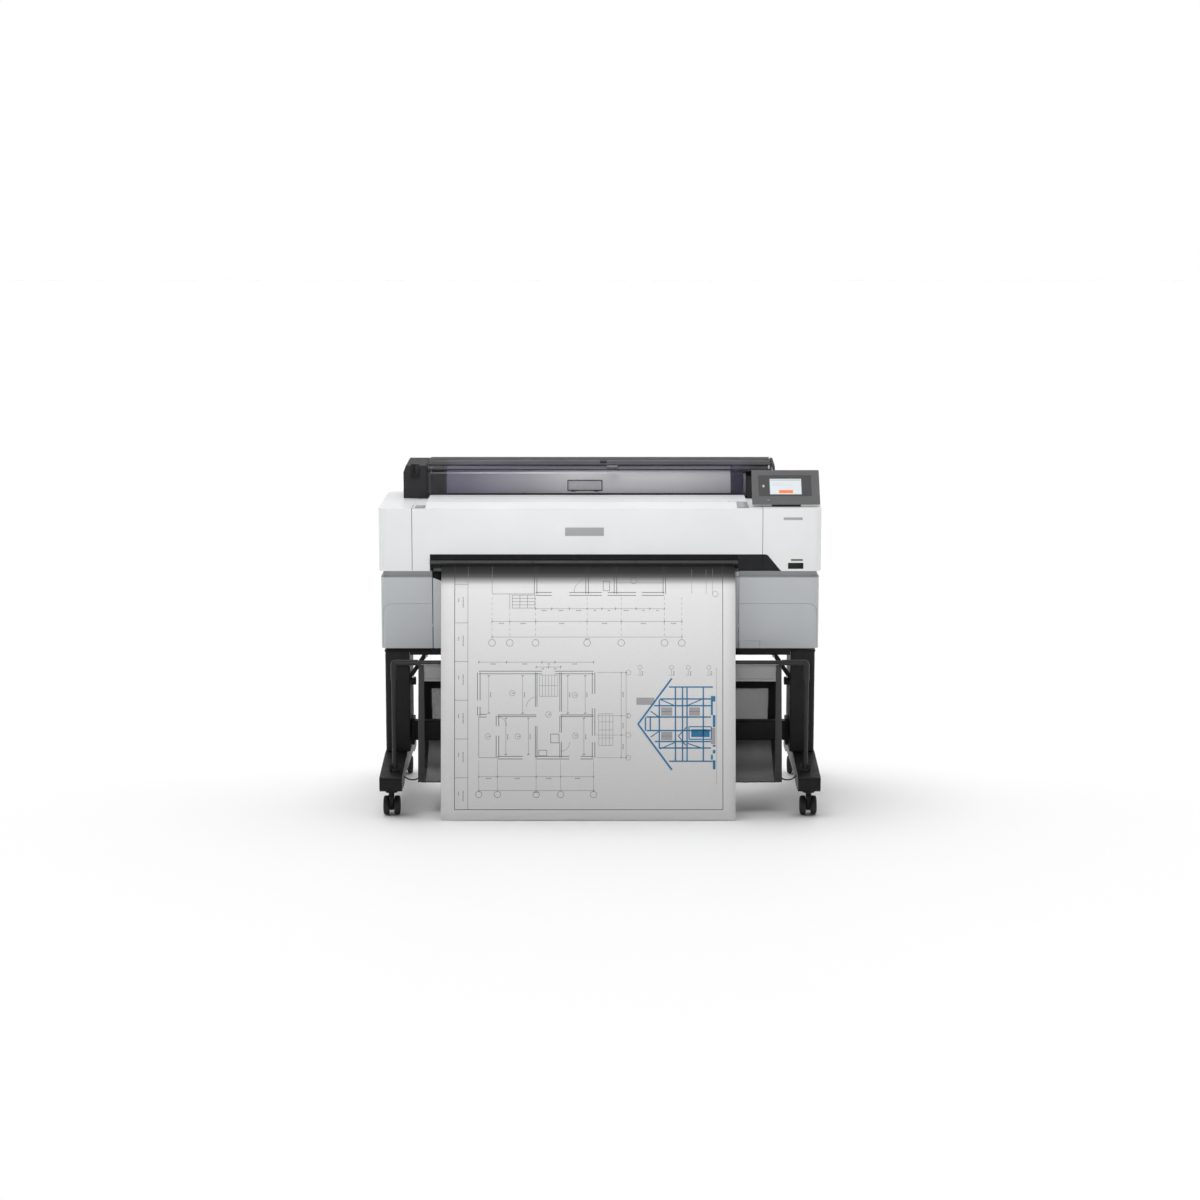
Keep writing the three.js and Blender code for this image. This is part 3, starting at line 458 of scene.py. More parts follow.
# Painted shade on the exit bar: near black above 0.788.
LIP = painted_shade_above("exit_lip_plastic_with_painted_shade", (0.042, 0.043, 0.045), (0.009, 0.009, 0.010), 0.40, 0.7880, 0.22)
PANEL = moulded("panel_plastic", (0.100, 0.101, 0.104), 0.46, vary=0.06)
TRIM = moulded("cover_trim_plastic", (0.62, 0.63, 0.64), 0.45)
MARK = moulded("pad_printed_grey", (0.36, 0.37, 0.38), 0.55)
MARK_LIGHT = moulded("pad_printed_light_grey", (0.55, 0.56, 0.57), 0.5)
GREEN = moulded("label_green", (0.10, 0.16, 0.06), 0.5)
GLASS = cover_glass("panel_glass")
LCD = lit_display("display_background", (0.66, 0.70, 0.73), 0.16)
LCD_GREY = lit_display("display_menu_grey", (0.50, 0.53, 0.56), 0.15)
LCD_ORANGE = lit_display("display_key_orange", (0.85, 0.17, 0.02), 0.20)
SMOKE = smoke_plastic("smoke_plastic")
# Smoke plastics for the cover's rims and catch, and for the painted shade bands on its top.
SMOKE_DARK = moulded("smoke_rim_and_painted_shade_plastic", (0.040, 0.038, 0.046), 0.50, specular=0.12)
SMOKE_MID = smoke_plastic("smoke_back_and_painted_shade_band_plastic", (0.036, 0.033, 0.044), 0.90, 0.40, 0.12)
SMOKE_CLEAR = smoke_plastic("smoke_handle_plastic", alpha=0.05)
SMOKE_LIGHT = smoke_plastic("smoke_line_plastic", (0.100, 0.094, 0.115), 0.85, 0.35, 0.20)
LEGS = powder_coat("leg_powder_coat", (0.010, 0.010, 0.011), 0.50)
FEET = painted_reflection_inside("foot_powder_coat", (0.008, 0.008, 0.009), (0.110, 0.110, 0.113))
ROD = powder_coat("rod_satin_paint", (0.024, 0.024, 0.026), 0.40, 0.3)
STEEL = plated_steel("zinc_plated_steel")
RUBBER = rubber("roller_rubber", (0.028, 0.028, 0.030))
TYRE = rubber("caster_tread", (0.022, 0.022, 0.025))
# Painted light on the basket cloth along y: dark at the floor's front, brightest at its rear, dark again up
# the rear panel.
BAG_PAINTED_LIGHT = [(-0.25, 0.22), (-0.17, 0.36), (-0.08, 0.80), (0.05, 1.0), (0.075, 0.90), (0.115, 0.30),
              (0.20, 0.26)]
FABRIC = woven("basket_fabric", (0.88, 0.88, 0.885), depth=BAG_PAINTED_LIGHT)
BAND = woven("basket_band_fabric", (0.36, 0.36, 0.365), 0.0018)
TAPE = woven("basket_tape", (0.012, 0.012, 0.013), 0.0015)
WEBBING = woven("basket_webbing", (0.062, 0.062, 0.064), 0.0030)
WINDOW = woven("basket_window_mesh", (0.150, 0.150, 0.152), 0.0012, 0.45, alpha=0.66)
PAPER = paper("plot_paper")
# Paper with the exit's shadow painted on below the lip.
PAPER_WITH_PAINTED_SHADOW = paper("plot_paper_with_painted_shadow", (0.705, 0.771))
PRINT_BLACK = ink("print_black", (0.05, 0.05, 0.055))
PRINT_GREY = ink("print_grey", (0.20, 0.20, 0.21))
PRINT_PALE = ink("print_pale", (0.40, 0.385, 0.40))
PRINT_BLUE = ink("print_blue", (0.030, 0.19, 0.38))
INKS = {
    "black": moulded("ink_tank_black", (0.02, 0.02, 0.02), 0.3),
    "cyan": moulded("ink_tank_cyan", (0.02, 0.27, 0.50), 0.3),
    "magenta": moulded("ink_tank_magenta", (0.42, 0.03, 0.16), 0.3),
    "yellow": moulded("ink_tank_yellow", (0.72, 0.49, 0.03), 0.3),
}


# ---- Finish of the CAD nodes ---------------------------------------------------------------------
EDGE_ANGLE = math.radians(30.0)


def dress(node, material, bevel=0.0):
    """Gives a CAD node its material and rounds its edges with modifiers; the mesh itself stays."""
    piece = NODES[node]
    piece.data.materials.clear()
    piece.data.materials.append(material)
    piece.data.shade_smooth()
    piece.data.set_sharp_from_angle(angle=EDGE_ANGLE)
    if bevel > 0:
        flat = piece.modifiers.new("merge_flat_faces", "DECIMATE")
        flat.decimate_type = "DISSOLVE"
        flat.angle_limit = math.radians(0.6)
        soften = piece.modifiers.new("round_edges", "BEVEL")
        soften.width = bevel
        soften.segments = 3
        soften.limit_method = "ANGLE"
        soften.angle_limit = EDGE_ANGLE
        soften.harden_normals = True
        soften.miter_outer = "MITER_ARC"


def dress_nodes():
    finishes = [
        (WHITE, 0.0018, ["left_side_cover", "right_side_cover", "front_cover"]),
        (WHITE, 0.0008, ["rear_cover"]),
        (GREY_WITH_PAINTED_WAIST_SHADE, 0.0014, ["lower_left_cover", "lower_right_cover"]),
        (GREY, 0.0014, ["lower_center_cover", "exit_sill"]),
        (SKIRT, 0.0010, ["ink_door", "right_skirt", "maintenance_box"]),
        (HOUSING, 0.0012, ["left_roll_housing", "right_roll_housing"]),
        (BLACK, 0.0012, ["panel_stand", "platen", "print_carriage", "left_brace", "right_brace"]),
        (BLACK, 0.0006, ["cover_end_cap", "recess_panel", "power_inlet", "left_roll_adapter",
                         "right_roll_adapter"]),
        (LIP, 0.0010, ["exit_bar"]),
        (PANEL, 0.0015, ["panel_housing"]),
        (PANEL, 0.0005, ["power_button"]),
        (GLASS, 0.0004, ["panel_screen"]),
        (SMOKE, 0.0, ["roll_cover"]),
        (SMOKE_CLEAR, 0.0, ["roll_cover_handle"]),
        (LEGS, 0.0020, ["left_leg", "right_leg", "crossbeam"]),
        (FEET, 0.0020, ["left_foot", "right_foot"]),
        (ROD, 0.0, ["basket_rod", "left_bag_hook", "right_bag_hook"]),
        (BLACK, 0.0006, ["main_frame"]),
        (STEEL, 0.0006, ["carriage_rail"]),
        (STEEL, 0.0004, ["drive_pulley", "idler_pulley"]),
        (RUBBER, 0.0, ["feed_roller", "pinch_roller", "drive_belt"]),
    ]
    for material, bevel, nodes in finishes:
        for node in nodes:
            dress(node, material, bevel)
    for colour, material in INKS.items():
        dress(f"ink_cartridge_{colour}", material, 0.0012)
    for end in ("front", "rear"):
        for side in ("left", "right"):
            dress(f"{end}_{side}_caster_fork", BLACK, 0.0010)


# ---- Casters -------------------------------------------------------------------------------------
def make_wheels():
    """Twin wheels with a rounded tread, a dished flank and a hub cap."""
    for end in ("front", "rear"):
        for side in ("left", "right"):
            node = f"{end}_{side}_caster_wheels"
            low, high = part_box(node)
            middle = (low + high) / 2
            radius = (high.z - low.z) / 2
            half = (high.x - low.x) / 2
            inner = 0.0083
            flank = [
                (0.0042, 0.0), (0.0042, inner), (0.012, inner), (0.0125, inner + 0.0012),
                (0.023, inner + 0.0012), (0.0255, inner), (radius - 0.003, inner),
                (radius - 0.0006, inner + 0.0022),
                (radius, inner + 0.005), (radius, half - 0.006), (radius - 0.0008, half - 0.003),
                (radius - 0.003, half - 0.0012), (0.0235, half - 0.0006), (0.0225, half - 0.0030),
                (0.0120, half - 0.0034), (0.0105, half - 0.0012), (0.0095, half), (0.0, half),
            ]
            profile = [(r, -a) for r, a in reversed(flank[1:])] + flank
            mesh = turned(node + "_visual", profile, "x", middle)
            wheels = new_piece(node + "_visual", mesh, TYRE, f"{end}_{side}_wheels", "caster_tyre", 40.0)
            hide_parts(node)


# ---- Upper casing details ------------------------------------------------------------------------
def ridged_pad(name, x_span, y_span, z_span, body):
    """A thin grey rest with cross ridges on the front band of the cover."""
    ridges = 7
    vertices, faces = [], []
    for i in range(ridges * 4 + 1):
        t = i / (ridges * 4)
        lift = 0.0004 if i % 4 in (1, 2) else 0.0
        y = y_span[0] + (y_span[1] - y_span[0]) * t
        z = z_span[0] + (z_span[1] - z_span[0]) * t + 0.0008 + lift
        vertices += [(x_span[0], y, z), (x_span[1], y, z)]
        if i:
            k = 2 * i
            faces.append((k - 2, k - 1, k + 1, k))
    mesh = mesh_from(name, vertices, faces)
    piece = new_piece(name, mesh, MARK, body, "grey_plastic", 60.0)
    thicken(piece, 0.0012, 1.0)


def make_upper_details():
    """Rests, cover lines and blank plates of the white casing."""
    flat, top = 0.950, COVER_HIGH.z
    rest_front, left_rear, right_rear = FACE + 0.006, FACE + 0.069, FACE + 0.063
    slope_start = flat + 0.012 * 0.006 / 0.063
    ridged_pad("left_roll_rest", (-0.578, -0.547), (rest_front, left_rear), (flat, flat), "front_cover")
    slope = (slope_start, 0.962)
    ridged_pad("right_roll_rest", (0.428, 0.461), (rest_front, right_rear), slope, "front_cover")
    marks = [
        ("blank_nameplate", (-0.109, 0.012), (0.864, 0.890), 0.0012, 0.0005, MARK, "front_cover",
         "grey_plastic"),
        ("blank_type_plate", (0.573, 0.632), (0.914, 0.922), 0.0006, 0.0002, MARK, "base", "grey_plastic"),
        ("blank_black_label", (0.588, 0.636), (0.760, 0.779), 0.0005, 0.0002, BLACK, "base", "black_plastic"),
        ("blank_green_label", (0.597, 0.634), (0.785, 0.791), 0.0005, 0.0002, GREEN, "base", "black_plastic"),
    ]
    for name, (x0, x1), (z0, z1), proud, edge, material, body, slot in marks:
        rounded_box(name, (x0, FACE - proud, z0), (x1, FACE + 0.0004, z1), edge, material, body, slot)
    for i, (y0, y1) in enumerate(((-0.004, 0.001), (0.042, 0.050))):
        rounded_box(f"cover_top_line_{i}", (-0.532, y0, top - 0.0006), (0.455, y1, top + 0.0004), 0.0003,
                    TRIM, "front_cover", "white_plastic")
    for i, x in enumerate((0.255, 0.405)):
        dot = turned(f"media_mark_{i}", [(0.0, 0.0), (0.0035, 0.0), (0.0035, 0.0003), (0.0, 0.0003)], "z",
                     (x, -0.085, COVER_HIGH.z - 0.0001), 24)
        new_piece(f"media_mark_{i}", dot, MARK, "front_cover", "grey_plastic")


def make_exit_details():
    """Seams in the exit bar, and dark pieces of painted shade at the slot end and the roof of the slot."""
    for i, x in enumerate((-0.211, 0.112)):
        rounded_box(f"exit_bar_seam_{i}", (x - 0.0008, BAR_LOW.y - 0.0003, 0.7765),
                    (x + 0.0008, BAR_LOW.y + 0.006, 0.7900), 0.0001, DARK, "front_cover", segments=1)
    # painted shade: a dark strip in the undercut above the lip
    reveal = prism("exit_bar_recess", [(FACE + 0.0022, 0.7925), (FACE + 0.0022, 0.8054),
                                       (FACE - 0.0004, 0.8054), (FACE - 0.0012, 0.7930)],
                   BAR_LOW.x + 0.0005, BAR_HIGH.x - 0.0005)
    new_piece("exit_bar_recess", reveal, DARK, "front_cover", "black_plastic")
    left = SHEET_LOW.x
    # painted shadow: a dark panel beside the sheet at the slot end
    end = mesh_from("slot_end_panel", [
        (left - 0.031, FACE - 0.0006, 0.7525), (left - 0.002, FACE - 0.0006, 0.7525),
        (left - 0.002, FACE - 0.0006, 0.7215), (left - 0.031, FACE - 0.0006, 0.7325),
    ], [(0, 1, 2, 3)])
    piece = new_piece("slot_end_panel", end, DARK, "base", "black_plastic")
    thicken(piece, 0.0008)


BOX_FACES = [(3, 2, 1, 0), (4, 5, 6, 7), (0, 1, 5, 4), (1, 2, 6, 5), (2, 3, 7, 6), (3, 0, 4, 7)]


def box_parts(name, spans):
    """One mesh of several plain boxes."""
    vertices, faces = [], []
    for low, high in spans:
        k = len(vertices)
        (x0, y0, z0), (x1, y1, z1) = low, high
        vertices += [(x0, y0, z0), (x1, y0, z0), (x1, y1, z0), (x0, y1, z0),
                     (x0, y0, z1), (x1, y0, z1), (x1, y1, z1), (x0, y1, z1)]
        faces += [[k + i for i in face] for face in BOX_FACES]
    return mesh_from(name, vertices, faces)


def make_casing_seams():
    """Dark joint strips beside the cover, behind the lower covers and under the ink tanks."""
    top = 0.950
    for name, x0, x1 in (("left_cover_seam", -0.5882, -0.5868), ("right_cover_seam", 0.5078, 0.5090)):
        spans = [((x0, FACE - 0.0002, 0.7555), (x1, FACE + 0.003, top)),
                 ((x0, FACE, top - 0.003), (x1, -0.075, top + 0.0002))]
        new_piece(name, box_parts(name, spans), DARK, "base", "black_plastic")
    for name, x0, x1 in (("left_joint_backing", -0.5252, -0.5190), ("right_joint_backing", 0.4305, 0.4357)):
        rounded_box(name, (x0, -0.1508, 0.5085), (x1, -0.1488, 0.7325), 0.0003, DARK, segments=1)
    rounded_box("left_side_liner", (-0.5908, -0.1622, 0.7562), (-0.5898, 0.0900, 0.9468), 0.0002, DARK,
                segments=1)
    tray = box_parts("ink_tank_tray", [((-0.672, -0.1530, 0.4975), (-0.530, -0.0300, 0.5026)),
                                       ((-0.672, -0.1560, 0.4975), (-0.530, -0.1545, 0.5060))])
    new_piece("ink_tank_tray", tray, DARK, "base", "black_plastic")


def screw_heads(name, places, axis, radius=0.0040):
    """One mesh of round screw heads with a driving recess, facing +y, -y or away from the middle."""
    profile = [(0.0, 0.0006), (0.0014, 0.0006), (0.0016, 0.0016), (0.0030, 0.0015), (radius, 0.0004),
               (radius, 0.0)]
    bm = bmesh.new()
    for place in places:
        outwards = 1.0 if place[3] > 0 else -1.0
        head = turned(name + "_head", [(r, a * outwards) for r, a in profile], axis, place[:3], 20)
        bm.from_mesh(head)
        bpy.data.meshes.remove(head)
    mesh = bpy.data.meshes.new(name)
    bm.to_mesh(mesh)
    bm.free()
    outward(mesh)
    return mesh


def make_fasteners():
    """Screws of the rear cover, the lower covers and the legs."""
    places = [(x, REAR, z, 1) for x in (-0.560, -0.280, 0.0, 0.280, 0.560) for z in (0.525, 0.930)]
    places += [(side * x, REAR, z, 1) for side in (-1, 1) for x in (0.610, 0.665) for z in (0.530, 0.720)]
    new_piece("rear_screws", screw_heads("rear_screws", places, "y"), STEEL, "base", "steel", 40.0)
    low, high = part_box("right_leg")
    places = [(side * high.x, y, z, side) for side in (-1, 1)
              for y in (low.y + 0.030, high.y - 0.030) for z in (0.200, 0.245)]
    new_piece("leg_screws", screw_heads("leg_screws", places, "x", 0.0055), STEEL, "base", "steel", 40.0)
    low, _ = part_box("left_brace")
    places = [(side * x, low.y, z, -1) for side in (-1, 1) for x, z in ((0.553, 0.462), (0.596, 0.395))]
    new_piece("brace_screws", screw_heads("brace_screws", places, "y"), STEEL, "base", "steel", 40.0)


def make_rear_vents():
    """Two fields of vent slots and the joint line of the rear service panel."""
    column_step, row_step, foot = 0.052, 0.011, 0.610
    slots = []
    for middle in (-0.4245, 0.3355):
        for row in range(9):
            for column in range(3):
                x = middle + (column - 1) * column_step
                z = foot + row * row_step
                slots.append(((x - 0.022, REAR - 0.0010, z), (x + 0.022, REAR + 0.0004, z + 0.0045)))
    new_piece("rear_vents", box_parts("rear_vents", slots), DARK, "base", "black_plastic")
    lines = []
    for x in (-0.1655, 0.1640):
        lines.append(((x, REAR - 0.001, 0.560), (x + 0.0012, REAR + 0.0003, 0.860)))
    for z in (0.5588, 0.8600):
        lines.append(((-0.1655, REAR - 0.001, z), (0.1652, REAR + 0.0003, z + 0.0012)))
    new_piece("rear_panel_joint", box_parts("rear_panel_joint", lines), DARK, "base", "black_plastic")


# ---- Roll cover ----------------------------------------------------------------------------------
# Points (y, z) on the outer top of the CAD roll cover, from front to rear, held level behind its crest.
LID_LINE = [(0.1104, 1.0379), (0.1131, 1.0412), (0.1168, 1.0436), (0.1213, 1.0451), (0.1455, 1.0504),
            (0.1850, 1.0570), (0.2048, 1.0594), (0.2247, 1.0612), (0.2649, 1.0642), (0.2727, 1.0642)]


def lid_height(y):
    """Height of the roll cover's outer top surface."""
    for (y0, z0), (y1, z1) in zip(LID_LINE, LID_LINE[1:]):
        if y <= y1:
            return z0 + (z1 - z0) * (y - y0) / (y1 - y0)
    return LID_LINE[-1][1]


def lid_band(name, y_span, material, x_span=None, thick=0.0010, proud=0.0):
    """A band along the top of the cover, following its slope; it makes moulded parts such as the latch and
    catch, and sheets of painted shade.
    """
    x0, x1 = x_span or (LID_LOW.x + 0.0015, LID_HIGH.x - 0.0015)

    def place(u, v):
        y = y_span[0] + (y_span[1] - y_span[0]) * v
        return (x0 + (x1 - x0) * u, y, lid_height(y) + 0.0004 + proud)

    band = new_piece(name, grid_mesh(name, 8, 2, place), material, "roll_cover", "smoke_plastic", 50.0)
    thicken(band, thick, 1.0)


def ring_plate(name, x_span, z_span, width, y_span):
    """An upright rectangular ring: its outside, the width of its sides and its depth in y."""
    (x0, x1), (z0, z1), w = x_span, z_span, width
    outer = [(x0, z0), (x1, z0), (x1, z1), (x0, z1)]
    inner = [(x0 + w, z0 + w), (x1 - w, z0 + w), (x1 - w, z1 - w), (x0 + w, z1 - w)]
    vertices = [(x, y, z) for y in y_span for x, z in outer + inner]
    faces = []
    for i in range(4):
        n = (i + 1) % 4
        faces += [(i, n, 4 + n, 4 + i), (8 + i, 12 + i, 12 + n, 8 + n),
                  (i, 8 + i, 8 + n, n), (4 + i, 4 + n, 12 + n, 12 + i)]
    mesh = mesh_from(name, vertices, faces)
    outward(mesh)
    return mesh


def make_lid_details():
    """Dark bands of painted shade and a lighter line on the smoke cover's top, its rims and catch, and the
    rim of its finger pull.
    """
    low, high = LID_LOW, LID_HIGH
    # painted shade: dark sheets on the top stand for the shaded inside seen through the cover, with a lighter
    # line between them
    lid_band("roll_cover_rear_band", (0.2170, 0.2715), SMOKE_DARK)
    lid_band("roll_cover_light_line", (0.2050, 0.2160), SMOKE_LIGHT)
    lid_band("roll_cover_top_band", (0.1500, 0.2040), SMOKE_MID)
    lid_band("roll_cover_edge_line", (0.1118, 0.1150), SMOKE_DARK)
    lid_band("roll_cover_latch", (0.1200, 0.1400), PANEL, (0.022, 0.057), 0.0028)
    lid_band("roll_cover_catch", (0.1800, 0.2140), SMOKE_DARK, (0.000, 0.021), 0.0030, 0.0008)
    back = prism("roll_cover_back", [(0.2725, 1.0635), (0.2735, 1.0645), (0.2850, 1.0420), (0.2865, 0.9560),
                                     (0.2877, 0.9560), (0.2862, 1.0425)], low.x + 0.0015, high.x - 0.0015)
    new_piece("roll_cover_back", back, SMOKE_MID, "roll_cover", "smoke_plastic", 50.0)
    rounded_box("roll_cover_hem", (low.x + 0.002, 0.1030, low.z + 0.0005), (0.4650, 0.1062, low.z + 0.0138),
                0.0008, SMOKE_DARK, "roll_cover", "smoke_plastic")
    pull = ring_plate("roll_cover_pull_rim", (-0.1045, 0.0075), (0.9745, 1.0095), 0.0026, (0.0958, 0.1046))
    new_piece("roll_cover_pull_rim", pull, SMOKE_DARK, "roll_cover", "smoke_plastic")
    tabs = box_parts("roll_cover_pull_tabs", [((x, 0.0962, 0.9722), (x + 0.014, 0.1046, 0.9765))
                                              for x in (-0.0925, -0.0190)])
    new_piece("roll_cover_pull_tabs", tabs, SMOKE_DARK, "roll_cover", "smoke_plastic")


LID_PROFILE = [(0.1065, 0.9530), (0.1085, 1.0350), (0.1150, 1.0450), (0.1750, 1.0570),
               (0.2720, 1.0625), (0.2845, 1.0380), (0.2865, 0.9530)]


def arch(name, outline, middle, width, x0, x1):
    """A strip that follows an open outline in y and z, thickened towards a middle point."""
    inner = []
    for y, z in outline:
        away = Vector((y - middle[0], z - middle[1])).normalized()
        inner.append((y - away.x * width, z - away.y * width))
    return prism(name, outline + inner[::-1], x0, x1)


def make_roll():
    """The wound paper: a finely rounded roll with a trimmed edge that stands back at its ends."""
    low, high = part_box("paper_roll")
    radius, bore = (high.z - low.z) / 2, 0.027
    length = high.x - low.x
    step = 0.0006
    end = [(bore, step), (bore + 0.004, 0.0), (bore + 0.006, 0.0)]
    layers = 12
    for k in range(layers):
        r = bore + 0.008 + (radius - bore - 0.010) * k / (layers - 1)
        end.append((r, step * (k % 2)))
    end.append((radius - 0.0004, 0.0))
    side = [(radius, 0.0005), (radius, length - 0.0005)]
    profile = end + side + [(r, length - a) for r, a in reversed(end)]
    centre = (low.x, (low.y + high.y) / 2, (low.z + high.z) / 2)
    mesh = turned("wound_paper", profile, "x", centre, 160, hollow=True)
    roll = new_piece("wound_paper", mesh, PAPER, "media_roll", "paper", 30.0)
    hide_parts("paper_roll")


def make_housing_details():
    """Lips that close the joint to the roll cover, the pocket of the catch and the roll guides."""
    lip = arch("left_housing_lip", LID_PROFILE, (0.195, 0.985), 0.012, -0.5572, -0.5537)
    new_piece("left_housing_lip", lip, BLACK, "base", "black_plastic")
    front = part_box("left_roll_housing")[0].y
    rounded_box("left_housing_pocket", (-0.6075, front - 0.0004, 1.019), (-0.5800, front + 0.002, 1.0600),
                0.0008, BLACK)
    rounded_box("left_housing_slot", (-0.5990, front - 0.0009, 1.030), (-0.5930, front + 0.002, 1.0595),
                0.0004, DARK)
    foot = 0.9535
    for side, x, inward in (("left", -0.5525, 1), ("right", 0.4695, -1)):
        x0, x1 = sorted((x, x + inward * 0.0075))
        rounded_box(f"{side}_roll_guide_rail", (x0, 0.131, foot), (x1, 0.137, 1.026), 0.0006, MARK,
                    slot="grey_plastic")
        x0, x1 = sorted((x + inward * 0.009, x + inward * 0.034))
        rounded_box(f"{side}_roll_guide", (x0, 0.132, foot), (x1, 0.141, 1.024), 0.0010, DARK)


# ---- Control panel -------------------------------------------------------------------------------
PANEL_TILT = math.radians(-40.0)
PANEL_ORIGIN = Vector((0.0, -0.125, 0.957))


def on_panel(x, up, out=0.0):
    """A point of the leaning panel: across, up along its face, and out from its glass."""
    c, s = math.cos(PANEL_TILT), math.sin(PANEL_TILT)
    y, z = -out, up
    return PANEL_ORIGIN + Vector((x, c * y - s * z, s * y + c * z))


def panel_plate(name, x_span, up_span, material, out, slot, shape=None):
    """A thin raised plate on the panel's glass, a rectangle unless a shape of (x, up) points is given."""
    points = shape or [(x_span[0], up_span[0]), (x_span[1], up_span[0]),
                       (x_span[1], up_span[1]), (x_span[0], up_span[1])]
    count = len(points)
    vertices = [on_panel(x, up, o) for o in (out[0], out[1]) for x, up in points]
    faces = [tuple(range(count)), tuple(range(count, 2 * count))]
    faces += [(i, (i + 1) % count, count + (i + 1) % count, count + i) for i in range(count)]
    mesh = mesh_from(name, vertices, faces)
    outward(mesh)
    return new_piece(name, mesh, material, "control_panel", slot)


def ring_points(centre_x, centre_up, radius, start, stop, count):
    steps = [start + (stop - start) * k / count for k in range(count + 1)]
    return [(centre_x + radius * math.cos(a), centre_up + radius * math.sin(a)) for a in steps]


def make_panel_details():
    """The lit display with its blank menu, a home mark beside it and the power mark on the button."""
    panel_plate("display", (0.534, 0.633), (0.039, 0.097), LCD, (-0.0005, 0.00045), "panel_glass")
    header = [
        ("display_title_bar", (0.5365, 0.6305), (0.0895, 0.0950), LCD_GREY),
        ("display_line_top", (0.5405, 0.5760), (0.0780, 0.0792), LCD_GREY),
        ("display_line_middle", (0.5405, 0.6010), (0.0720, 0.0732), LCD_GREY),
        ("display_action_key", (0.5620, 0.6060), (0.0430, 0.0545), LCD_ORANGE),
    ]
    for name, x_span, up_span, material in header:
        panel_plate(name, x_span, up_span, material, (0.0004, 0.0006), "panel_glass")
    home = [(0.5135, 0.0655), (0.5165, 0.0655), (0.5165, 0.0700), (0.5190, 0.0700), (0.5140, 0.0750),
            (0.5090, 0.0700), (0.5115, 0.0700), (0.5115, 0.0655)]
    panel_plate("home_mark", None, None, MARK_LIGHT, (-0.0002, 0.0002), "panel_glass", home)
    outer = ring_points(0.528, 0.017, 0.0030, math.radians(125), math.radians(415), 24)
    inner = ring_points(0.528, 0.017, 0.0024, math.radians(415), math.radians(125), 24)
    ring = panel_plate("power_mark_ring", None, None, MARK_LIGHT, (0.0001, 0.0008), "panel_plastic",
                       outer + inner)
    bar = panel_plate("power_mark_bar", (0.5277, 0.5283), (0.0170, 0.0205), MARK_LIGHT, (0.0001, 0.0008),
                      "panel_plastic")
    for mark in (ring, bar):
        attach(mark, "power_button")


# ---- Printed sheet -------------------------------------------------------------------------------
LIP_POINT = (-0.181, 0.771)
BEND_CONTROL = (-0.229, 0.768)
BEND_END = (-0.251, 0.640)
TIP = (SHEET_LOW.y + 0.0005, SHEET_LOW.z)
SHEET_START = -0.020
BEND_RUN = 0.16
DRAWING_SHIFT = 0.014
PAPER_THICK = 0.00022
INK_STEP = 0.00004  # each ink lies this much over the one before


def sheet_route():
    """Points (y, z) of the sheet from inside the exit, over the lip and down to the free end."""
    route = [(SHEET_START + (LIP_POINT[0] - SHEET_START) * k / 6, LIP_POINT[1]) for k in range(6)]
    for k in range(15):
        t = k / 14
        a, b, c = (1 - t) ** 2, 2 * t * (1 - t), t * t
        route.append(tuple(a * LIP_POINT[i] + b * BEND_CONTROL[i] + c * BEND_END[i] for i in (0, 1)))
    for k in range(1, 25):
        t = k / 24
        route.append(tuple(BEND_END[i] + (TIP[i] - BEND_END[i]) * t for i in (0, 1)))
    return route


class Route:
    """Measures along the sheet: a point and its outward direction at any distance below the lip."""

    def __init__(self):
        self.points = [Vector((0.0, y, z)) for y, z in sheet_route()]
        self.runs = [0.0]
        for a, b in zip(self.points, self.points[1:]):
            self.runs.append(self.runs[-1] + (b - a).length)
        start = (Vector((0.0, *LIP_POINT)) - self.points[0]).length
        self.runs = [run - start for run in self.runs]

    def at(self, distance, proud=0.0):
        last = len(self.runs) - 2
        i = next((k for k in range(len(self.runs) - 1) if self.runs[k + 1] >= distance), last)
        t = (distance - self.runs[i]) / (self.runs[i + 1] - self.runs[i])
        along = self.points[i + 1] - self.points[i]
        outward_way = Vector((0.0, along.z, -along.y)).normalized()
        return self.points[i] + along * t + outward_way * proud


def make_sheet():
    """The hanging plot: a stiff strip of paper, straight across, that bends over the lip of the exit."""
    columns = 24
    route = Route()
    total = route.runs[-1]
    vertices, faces = [], []
    for j, run in enumerate(route.runs):
        for i in range(columns + 1):
            x = SHEET_LOW.x + (SHEET_HIGH.x - SHEET_LOW.x) * i / columns
            point = route.at(min(run, total))
            vertices.append((x, point.y, point.z))
            if i and j:
                k = j * (columns + 1) + i
                faces.append((k - columns - 2, k - columns - 1, k, k - 1))
    mesh = mesh_from("plot_sheet", vertices, faces)
    plot = new_piece("plot_sheet", mesh, PAPER_WITH_PAINTED_SHADOW, None, "paper")
    thicken(plot, PAPER_THICK)
    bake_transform(plot)
    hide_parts("printed_sheet")
    return route


